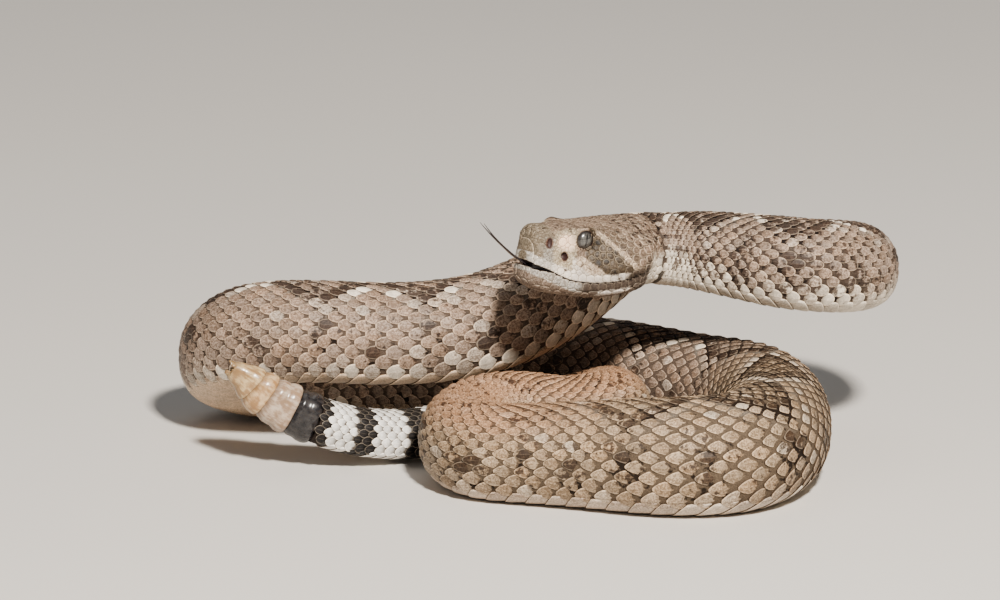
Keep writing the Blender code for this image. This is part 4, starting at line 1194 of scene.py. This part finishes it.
def scatter_plates(rows):
    """Add small scales all over the rest of the head, at their wanted spacing."""
    random = np.random.default_rng(PLATE_SEED)
    places = [near_hide(row[0])[0] for row in rows]
    plates = [[place, *row[1:], True] for place, row in zip(places, rows)]
    taken = np.array(places)
    for _ in range(SCATTER_TRIES):
        behind = 1.0 + (NAPE_PLATES_END - 1.0) * random.random()
        side = 1 if random.random() < 0.5 else -1
        jaw = 1 if random.random() < 0.66 else -1
        reach = random.random()
        half = ring_halves[int(behind / HEAD_STEP), 0 if side > 0 else 1]
        index = LOW_POINTS + reach * HIGH_CUTS if jaw > 0 else reach * (LOW_POINTS - 1)
        low = min(int(index), len(half) - 2)
        place = half[low] * (1 - index + low) + half[low + 1] * (index - low)
        spacing = wanted_spacing(behind, head_coordinates(place)[1], jaw)
        away = np.linalg.norm(taken - place, axis=1)
        near_fixed = away[:len(rows)].min()
        if away.min() > spacing and near_fixed > spacing * 0.5 + 0.8:
            taken = np.vstack([taken, place])
            plates.append([place, spacing / 2, jaw, None, False])
    return plates


def cell_of(k, plates, places, facings, jaws, weights):
    """Outline of one plate in its own plane, cut by its neighbours, the lips and the eye."""
    place, normal = places[k], facings[k]
    back = -FORWARD - normal * (-FORWARD @ normal)
    if np.linalg.norm(back) < 0.35:
        back = -HEAD_UP - normal * (-HEAD_UP @ normal)
    back = unit(back)
    across = np.cross(normal, back)
    size = 2.4 * max(weights[k], 0.7)
    outline = [(size * math.cos(a), size * math.sin(a)) for a in np.arange(12) * math.pi / 6]
    behind, aside, height = head_coordinates(place)
    walls = []
    offsets = places - place
    away = np.linalg.norm(offsets, axis=1)
    for j in np.argsort(away)[1:22]:
        if jaws[j] * jaws[k] < 0 and behind < MOUTH_END - 1.5:
            continue
        flat = np.array([offsets[j] @ back, offsets[j] @ across])
        reach = away[j] / 2 + (weights[k] ** 2 - weights[j] ** 2) / (2 * max(away[j], 0.1))
        walls.append((flat, reach - PLATE_GAP / 2))
    if behind < MOUTH_END - 1.5 and jaws[k]:
        edge = curve_place(max(behind, HEAD_SKIN_DEPTH), 0.0, 1 if aside >= 0 else -1,
                           "upper lip" if jaws[k] > 0 else "lower lip")
        if np.linalg.norm(edge - place) < 5:
            down = HEAD_UP * (-1 if jaws[k] > 0 else 1)
            flat = np.array([down @ back, down @ across])
            walls.append((flat, abs((edge - place) @ down) / max(np.linalg.norm(flat), 0.3) - 0.02))
    side = 1 if aside >= 0 else -1
    for (at, out, up), radius in ((EYE_PLACE, EYE_RADIUS - 0.15),
                                  ((PIT_PLACE[0], 9.2, PIT_PLACE[1]), PIT_PLACE[2] + 0.10),
                                  ((NOSTRIL_PLACE[0], 7.6, NOSTRIL_PLACE[1] + 0.8), NOSTRIL_PLACE[2] + 0.05),
                                  ((NOSTRIL_PLACE[0], 7.6, NOSTRIL_PLACE[1] - 0.8), NOSTRIL_PLACE[2] + 0.05)):
        hole = head_point(at, side * out, up) - place
        hole = hole - HEAD_LEFT * (hole @ HEAD_LEFT)
        if at == EYE_PLACE[0]:
            hole = hole - HEAD_UP * (hole @ HEAD_UP) * 0.12
        if np.linalg.norm(hole) < radius + 4:
            flat = np.array([hole @ back, hole @ across])
            walls.append((flat, max(np.linalg.norm(hole) - radius, 0.25)))
    for flat, reach in walls:
        flat = flat / max(np.linalg.norm(flat), 1e-6)
        cut_outline = []
        for (x0, y0), (x1, y1) in zip(outline, outline[1:] + outline[:1]):
            d0 = x0 * flat[0] + y0 * flat[1] - reach
            d1 = x1 * flat[0] + y1 * flat[1] - reach
            if d0 <= 0:
                cut_outline.append((x0, y0))
            if d0 * d1 < 0:
                u = d0 / (d0 - d1)
                cut_outline.append((x0 + (x1 - x0) * u, y0 + (y1 - y0) * u))
        outline = cut_outline
        if len(outline) < 3:
            return None, back, across
    return np.array(outline), back, across


def rounded(outline, count):
    """The outline with its corners rounded off, as evenly spaced points that start behind."""
    for _ in range(2):
        after = np.roll(outline, -1, axis=0)
        outline = np.stack([outline * 0.86 + after * 0.14, outline * 0.14 + after * 0.86], 1).reshape(-1, 2)
    closed = np.vstack([outline, outline[:1]])
    along = lengths_along(closed)
    middle = outline.mean(0)
    angles = np.arctan2(outline[:, 1] - middle[1], outline[:, 0] - middle[0])
    start = along[int(np.argmin(np.abs(angles)))]
    at = (start + np.arange(count) / count * along[-1]) % along[-1]
    return rows_at(at, along, closed)


def area_of(outline):
    """Area inside a closed outline."""
    after = np.roll(outline, -1, axis=0)
    return abs(np.sum(outline[:, 0] * after[:, 1] - outline[:, 1] * after[:, 0])) / 2


def build_plate(store, place, back, across, outline, count, high, keeled, chance, second, root):
    """Add one domed plate to the mesh lists, its rim sunk into the skin."""
    edge = rounded(outline, count)
    middle = edge.mean(0)
    size = math.sqrt(area_of(edge))
    behind, aside, height = head_coordinates(place)
    netted = keeled and abs(aside) > 7 and height < 7.5
    # Rim levels by ring: a pale rim, partly painted highlight, and a dark edge that the finish paints as
    # shade.
    lit_pale_rim = (1.0, 0.15 if netted else 0.33 if keeled else 0.50, 0.12, 0.0)
    first = len(store["points"])
    rings = ((0.45, 0.97), (0.80, 0.84), (0.92, 0.56), (1.0, 0.18))
    lift = 0.10 * (size / 2) * ramp(behind, 18, 34)
    spots = [(middle, 1.0, 0.0)]
    for ring_size, ring_high in rings:
        spots += [(middle + (p - middle) * ring_size, ring_high, ring_size) for p in edge]
    spots += [(middle + (p - middle) * 0.98, None, 1.2) for p in edge]
    for k, (flat, share, out) in enumerate(spots):
        spot, facing = near_hide(place + back * flat[0] + across * flat[1])
        on_keel = k == 0 or (k - 1) % count in (0, count // 2)
        up = -0.3 if share is None else high * share + lift * (flat[0] - middle[0]) / max(size, 0.5)
        if keeled and on_keel and share is not None and out < 0.9:
            up += 0.10
        store["points"].append(spot + facing * up)
        store["rim"].append(-0.5 if share is None else np.interp(out, (0, 0.80, 0.92, 1.0), lit_pale_rim))
        store["keel"].append(float(keeled and on_keel and share is not None))
        store["bake"].append(np.array(root) + SCALE_PATCH * (flat - middle) / (size * 2))
        store["chance"].append(chance)
        store["second"].append(second)
    layers = len(rings) + 1
    for i in range(count):
        n = (i + 1) % count
        store["faces"].append((first, first + 1 + i, first + 1 + n))
        for r in range(layers - 1):
            a = first + 1 + r * count
            store["faces"].append((a + i, a + count + i, a + count + n, a + n))
    last = first + 1 + (layers - 1) * count
    store["faces"].append(tuple(last + i for i in range(count - 1, -1, -1)))


sections = [head_ring(max(behind, HEAD_SKIN_DEPTH)) for behind in np.arange(0, HEAD_LENGTH + 1, HEAD_STEP)]
ring_halves = np.array([[ring[SECTION_HALVES[side]] for side in (1, -1)] for ring in sections])
plates = scatter_plates(fixed_plates())
neck_turns = row_turns(DORSAL_ROWS)[0]
neck_marks = [on_body(1.6 + 1.6 * (r % 2), turn, -SKIN_DEPTH) for r, turn in enumerate(neck_turns)]
for relaxing in (True, True, False):
    spots = [near_hide(plate[0]) for plate in plates] + [near_hide(place) for place in neck_marks]
    places = np.array([spot for spot, _ in spots])
    facings = np.array([facing for _, facing in spots])
    jaws = np.array([plate[2] for plate in plates] + [0] * len(neck_marks))
    weights = np.array([plate[1] for plate in plates] + [1.2] * len(neck_marks))
    cells = [cell_of(k, plates, places, facings, jaws, weights) for k in range(len(plates))]
    if relaxing:
        for plate, place, (outline, back, across) in zip(plates, places, cells):
            if outline is not None and not plate[4]:
                middle = outline.mean(0)
                plate[0] = place + back * middle[0] + across * middle[1]
draw = np.random.default_rng(PLATE_SEED + 1)
chances, seconds = draw.random(len(plates)), draw.random(len(plates))
head_store = {label: [] for label in ("points", "faces", "rim", "keel", "bake", "chance", "second")}
for k, (plate, (outline, back, across)) in enumerate(zip(plates, cells)):
    shape = plate[3]
    if outline is None or shape == ():
        continue
    behind, aside, height = head_coordinates(places[k])
    area = area_of(outline)
    if area < 0.4 and shape is None:
        continue
    count = PLATE_POINTS
    if shape:
        long, wide, slant, roundness = shape
        turn = np.arange(32) * np.pi / 16
        x = long * np.sign(np.cos(turn)) * np.abs(np.cos(turn)) ** roundness
        y = wide * np.sign(np.sin(turn)) * np.abs(np.sin(turn)) ** roundness
        outline = np.stack([x, y * (1 + 0.26 * x / long) + slant * x], -1)
        count = BIG_PLATE_POINTS
    elif area > 5.0:
        count = BIG_PLATE_POINTS
    keeled = shape is None and plate[2] > 0 and behind > 16 and height > -2 and area < 9 and not plate[4]
    high = 0.20 + 0.03 * math.sqrt(area) + 0.12 * ramp(behind, 20, 40)
    root = (0.02 + 0.95 * np.clip(behind / HEAD_LENGTH, 0, 1),
            0.5 + math.atan2(aside, height + 4) / (2 * math.pi) * 0.95)
    build_plate(head_store, places[k], back, across, outline, count, high, keeled,
                chances[k], seconds[k], root)
head_plates = make_mesh("plates_head", head_store["points"], head_store["faces"], finish_of_scales)
plate_points = np.array(head_store["points"])
plate_tone = head_tone(plate_points, np.array(head_store["chance"]), np.array(head_store["second"]))
set_colours(head_plates.data, "tone", plate_tone)
set_values(head_plates.data, "rim", head_store["rim"])
set_values(head_plates.data, "keel", head_store["keel"])
set_values(head_plates.data, "mark", head_mark(plate_points))
store_bake_map(head_plates.data, np.array(head_store["bake"]))
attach(head_plates, "root")

# Eyes
# Glossy balls seated under the brow plates: a silver-grey iris with fine streaks, an upright
# slit and a dark rim, painted on and sealed under clear resin.
EYE_SIDES = 64
EYE_RINGS = 40
EYE_BULGE = 2.4
EYE_SEAT = 9.0
EYE_TURN = math.radians(12.0)
EYE_HEIGHT = 3.4
IRIS_SILVER = (0.085, 0.08, 0.072)
IRIS_DARK = (0.016, 0.014, 0.012)


def eye_finish():
    """Streaked iris round an upright slit, under a clear wet coat."""
    material, tree, shader = finish_nodes("eyes")
    gaze = attribute(tree, "gaze", "Vector")
    flat = reckon_vector(tree, "MULTIPLY", gaze, (1, 1, 0))
    away = reckon_vector(tree, "LENGTH", flat)
    slit = reckon_vector(tree, "LENGTH", reckon_vector(tree, "MULTIPLY", gaze, (1 / 0.13, 1 / 0.68, 0)))
    streaks = noise(tree, reckon_vector(tree, "NORMALIZE", flat), 9.0, 5.0)
    grain = reckon(tree, "MULTIPLY", streaks, noise(tree, gaze, 7.0, 4.0))
    iris = colour_mix(tree, span(tree, grain, 0.16, 0.34), IRIS_DARK, IRIS_SILVER)
    edged = colour_mix(tree, span(tree, slit, 1.5, 1.0, 0.0, 0.35), iris, (0.17, 0.155, 0.135))
    pupil = colour_mix(tree, span(tree, slit, 1.05, 0.92), edged, (0.006, 0.005, 0.005))
    rimmed = colour_mix(tree, span(tree, away, 0.54, 0.80), pupil, (0.014, 0.011, 0.010))
    tree.links.new(rimmed, shader.inputs["Base Color"])
    shader.inputs["Roughness"].default_value = 0.30
    shader.inputs["Coat Weight"].default_value = 1.0
    shader.inputs["Coat Roughness"].default_value = 0.03
    return material


finish_of_eyes = eye_finish()
for side, word in ((1, "left"), (-1, "right")):
    middle = head_point(EYE_PLACE[0], side * EYE_SEAT, EYE_PLACE[2])
    points, faces = ball(middle, (EYE_RADIUS - 0.05, EYE_HEIGHT, EYE_BULGE), EYE_SIDES, EYE_RINGS)
    eye = make_mesh(f"{word}_eye_ball", points, faces, finish_of_eyes)
    local = points - middle
    out = (local @ HEAD_LEFT) / EYE_BULGE * side
    ahead = (local @ FORWARD) / EYE_RADIUS
    turned = ahead * math.cos(EYE_TURN) - out * math.sin(EYE_TURN)
    depth = out * math.cos(EYE_TURN) + ahead * math.sin(EYE_TURN)
    set_vectors(eye.data, "gaze", np.stack([turned, (local @ HEAD_UP) / EYE_HEIGHT, depth], -1))
    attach(eye, "root")
    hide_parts(f"eye_{word}")

# Tongue
# A moist black ribbon from between the lips, lifted forward and forked into two fine tips;
# cast in one thin piece.
TONGUE_SIDES = 16
TONGUE_STEPS = 40
TONGUE_START = -3.6
TONGUE_FORK = 10.6
TONGUE_END = 19.6
TONGUE_ARCH = ((-3.6, -7.1), (-1.2, -6.9), (1.0, -5.9), (4.0, -4.7), (8.0, -2.6), (11.5, -0.6), (14.5, 1.3),
               (17.2, 3.2), (19.6, 5.0))
TONGUE_WIDTH = ((-3.6, 0.85), (1.0, 0.95), (4.0, 0.95), (8.0, 0.80), (11.5, 0.62))
TONGUE_THICKNESS = ((-3.6, 0.36), (4.0, 0.38), (8.0, 0.32), (11.5, 0.26), (15.0, 0.20), (19.6, 0.07))
TINE_ASIDE = ((9.6, 0.30), (11.5, 0.36), (14.5, 0.55), (17.2, 0.80), (19.6, 1.10))
TINE_WIDTH = ((9.6, 0.30), (11.5, 0.32), (15.0, 0.24), (19.6, 0.07))


def tongue_strand(start, end, aside, wide):
    """Points and faces of one closed strand of the tongue between two places ahead of the snout."""
    rings = []
    turn = round_turns(TONGUE_SIDES)
    for ahead in np.linspace(start, end, TONGUE_STEPS):
        height = profile(TONGUE_ARCH, ahead)
        slope = (profile(TONGUE_ARCH, ahead + 0.2) - profile(TONGUE_ARCH, ahead - 0.2)) / 0.4
        up = unit(HEAD_UP - FORWARD * slope)
        middle = head_point(-ahead, aside(ahead), height)
        thick = profile(TONGUE_THICKNESS, ahead)
        rings.append(middle + HEAD_LEFT * (wide(ahead) * np.sin(turn))[:, None]
                     - up * (thick * np.cos(turn) * (1 - 0.3 * np.cos(turn)))[:, None])
    return loft_points(rings), loft_faces(len(rings), TONGUE_SIDES)


def tongue_finish():
    """Black wet flesh."""
    material, tree, shader = finish_nodes("tongue")
    grain = noise(tree, object_place(tree), 2400.0, 3.0)
    tone = colour_mix(tree, grain, (0.004, 0.003, 0.004), (0.022, 0.015, 0.018))
    tree.links.new(tone, shader.inputs["Base Color"])
    shader.inputs["Roughness"].default_value = 0.16
    return material


tongue_points, tongue_faces = [], []
strands = [tongue_strand(TONGUE_START, TONGUE_FORK, lambda a: 0.0, lambda a: profile(TONGUE_WIDTH, a))]
for side in (1, -1):
    strands.append(tongue_strand(TONGUE_FORK - 1.0, TONGUE_END, lambda a: side * profile(TINE_ASIDE, a),
                                 lambda a: profile(TINE_WIDTH, a)))
for points, faces in strands:
    shift = len(tongue_points)
    tongue_points += list(points)
    tongue_faces += [tuple(shift + corner for corner in face) for face in faces]
tongue = make_mesh("forked_tongue", tongue_points, tongue_faces, tongue_finish())
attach(tongue, "root")
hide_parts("tongue")

# Rattle
# Loose hollow segments of dry horn, each flared lip gripping the next older lobe: dark and
# new at the tail, worn cream and tan further out, with the last one broken open.
RATTLE_SIDES = 72
RATTLE_WIDTH = 0.80
RATTLE_GROOVE = 0.13
YOUNG_LOBE = ((0.0, 0.95), (0.10, 1.01), (0.25, 1.04), (0.42, 1.03), (0.56, 0.985), (0.66, 0.98),
              (0.78, 0.985), (0.90, 0.93), (1.0, 0.86), (1.06, 0.78))
DOUBLE_LOBE = ((0.0, 0.95), (0.09, 1.02), (0.24, 1.04), (0.38, 1.01), (0.47, 0.975), (0.57, 0.99),
               (0.72, 1.0), (0.87, 0.95), (1.0, 0.86), (1.06, 0.78))
SINGLE_LOBE = ((0.0, 0.95), (0.12, 1.02), (0.35, 1.04), (0.60, 1.02), (0.85, 0.94), (1.0, 0.86), (1.06, 0.78))
BROKEN_LOBE = ((0.0, 0.95), (0.10, 1.02), (0.25, 1.03), (0.42, 0.97), (0.52, 0.95), (0.62, 0.97),
               (0.80, 0.94), (1.0, 0.88))
RATTLE_SEGMENTS = (
    ("base", 0.245, 8.5, 8.3, YOUNG_LOBE, "rattle_dark", (0.007, 0.006, 0.007), (0.030, 0.026, 0.025)),
    ("second", 0.285, 8.6, 7.6, DOUBLE_LOBE, "rattle_cream", (0.24, 0.15, 0.09), (0.46, 0.36, 0.27)),
    ("third", 0.175, 7.6, 6.9, SINGLE_LOBE, "rattle_tan", (0.28, 0.15, 0.06), (0.54, 0.37, 0.20)),
    ("tip", 0.295, 6.6, 3.0, BROKEN_LOBE, "rattle_tan", (0.26, 0.15, 0.065), (0.54, 0.385, 0.20)),
)
BREAK_DEPTH = 0.13


def horn_finish(name, dark, pale):
    """Dry translucent horn, streaked lengthwise and darker in its folds."""
    material, tree, shader = finish_nodes(name)
    stretched = reckon_vector(tree, "MULTIPLY", attribute(tree, "horn", "Vector"), (3.2, 3.2, 0.9))
    streaks = noise(tree, stretched, 1.6, 6.0, 0.65)
    even = reckon(tree, "MULTIPLY", streaks, noise(tree, object_place(tree), 420.0, 4.0))
    tone = colour_mix(tree, span(tree, even, 0.15, 0.36), dark, pale)
    folded = span(tree, attribute(tree, "fold"), 0.0, 1.0, 0.55, 0.0)
    tree.links.new(colour_mix(tree, folded, tone, [c * 0.5 for c in dark]), shader.inputs["Base Color"])
    shader.inputs["Roughness"].default_value = 0.24
    shader.inputs["Subsurface Weight"].default_value = 0.18
    shader.inputs["Subsurface Radius"].default_value = (0.0016, 0.0009, 0.0005)
    add_bump(tree, shader, streaks, 0.15, 0.0003)
    return material


def rattle_ring(travel, girth, shift):
    """One ring round the rattle, moved along it by a shift for each point."""
    turn = round_turns(RATTLE_SIDES)
    middle, _, along, left, back = line_at(travel)
    pinch = 1 - RATTLE_GROOVE * np.abs(np.sin(turn)) ** 8
    wide = left * (RATTLE_WIDTH * girth * pinch * np.sin(turn))[:, None]
    high = back * (girth * np.cos(turn))[:, None]
    return middle + (wide - high) + along * np.broadcast_to(shift, turn.shape)[:, None]


chipped = np.random.default_rng(31)
rattle_turn = round_turns(RATTLE_SIDES)
travel = RATTLE_START
for word, share, girth_in, girth_out, lobe, slot, dark, pale in RATTLE_SEGMENTS:
    length = (TRAVEL[-1] - RATTLE_START) * share
    knots = np.array(lobe)
    rings, fold, along = [], [], []
    for u in np.linspace(0.0, knots[-1, 0], 34):
        swell = profile(lobe, u)
        rings.append(rattle_ring(travel + length * u, (girth_in + (girth_out - girth_in) * u) * swell, 0.0))
        fold.append(min(max((swell - 0.90) / 0.10, 0.0), 1.0))
        along.append(u)
    if word == "tip":
        jag = chipped.normal(0, 0.8, RATTLE_SIDES // 4).repeat(4) + 0.9 * np.sin(rattle_turn * 2 + 0.7) - 0.9
        for k, part in ((1, 1.0), (2, 0.75), (3, 0.45), (4, 0.2)):
            size = girth_out * profile(lobe, along[-k])
            rings[-k] = rattle_ring(travel + length * along[-k], size, jag * part)
        for u, inner in ((0.99, 0.82), (0.93, 0.80), (1 - BREAK_DEPTH, 0.70)):
            depth_jag = jag if u > 0.95 else jag * 0.3
            rings.append(rattle_ring(travel + length * u, girth_out * inner * 0.85, depth_jag))
            fold.append(0.0)
            along.append(u)
    piece = make_mesh(f"horn_{word}", loft_points(rings), loft_faces(len(rings), RATTLE_SIDES),
                      horn_finish(f"horn_{word}", dark, pale))
    count = len(rings)
    horn = np.stack([np.tile(np.cos(rattle_turn), count), np.tile(np.sin(rattle_turn), count),
                     np.repeat(along, RATTLE_SIDES)], -1)
    set_vectors(piece.data, "horn", np.concatenate([horn, [[0, 0, 0], [0, 0, 1]]]))
    set_values(piece.data, "fold", np.concatenate([np.repeat(fold, RATTLE_SIDES), [0, 0]]))
    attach(piece, "root")
    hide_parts(f"rattle_{word}")
    travel += length

# Studio
# Pale floor, soft key light from the right and front, a broad fill and a top light, and
# the camera at the photograph's angle from far away.
CAMERA_PLACE = (-0.01252, -2.9216, 0.7831)
CAMERA_TILT = math.radians(76.0)
CAMERA_LENS = 327.27
FLOOR_SIZE = 8.0
LIGHT_AIM = (0, 0, 0.04)
LIGHTS = (
    ("key", (0.33, -1.42, 1.26), 0.15, 106, (1.0, 0.94, 0.86)),
    ("fill", (-1.4, -1.2, 0.8), 1.2, 2, (0.92, 0.96, 1.0)),
    ("top", (-0.2, 0.5, 1.8), 1.2, 5, (1.0, 0.98, 0.95)),
)
SKY_TONE = (0.94, 0.96, 1.0, 1)
SKY_STRENGTH = 0.12

floor_finish, floor_tree, floor_shader = finish_nodes("pale_floor")
floor_noise = noise(floor_tree, object_place(floor_tree), 3.0, 2.0)
floor_tone = colour_mix(floor_tree, floor_noise, (0.60, 0.57, 0.53), (0.64, 0.61, 0.57))
floor_tree.links.new(floor_tone, floor_shader.inputs["Base Color"])
floor_shader.inputs["Roughness"].default_value = 0.9
bpy.ops.mesh.primitive_plane_add(size=FLOOR_SIZE, location=(0, 0, 0))
floor = bpy.context.object
floor.name = "floor"
floor.data.materials.append(floor_finish)
for name, place, size, watts, colour in LIGHTS:
    lamp = bpy.data.lights.new(name, "AREA")
    lamp.size = size
    lamp.energy = watts
    lamp.color = colour
    holder = bpy.data.objects.new(name, lamp)
    holder.location = place
    holder.rotation_euler = (Vector(LIGHT_AIM) - Vector(place)).to_track_quat("-Z", "Y").to_euler()
    bpy.context.scene.collection.objects.link(holder)
world = bpy.data.worlds.new("studio")
world.use_nodes = True
world.node_tree.nodes["Background"].inputs[0].default_value = SKY_TONE
world.node_tree.nodes["Background"].inputs[1].default_value = SKY_STRENGTH
bpy.context.scene.world = world
camera_data = bpy.data.cameras.new("camera")
camera_data.sensor_width = 36.0
camera_data.lens = CAMERA_LENS
camera = bpy.data.objects.new("camera", camera_data)
camera.location = CAMERA_PLACE
camera.rotation_euler = (CAMERA_TILT, 0, 0)
bpy.context.scene.collection.objects.link(camera)
bpy.context.scene.camera = camera
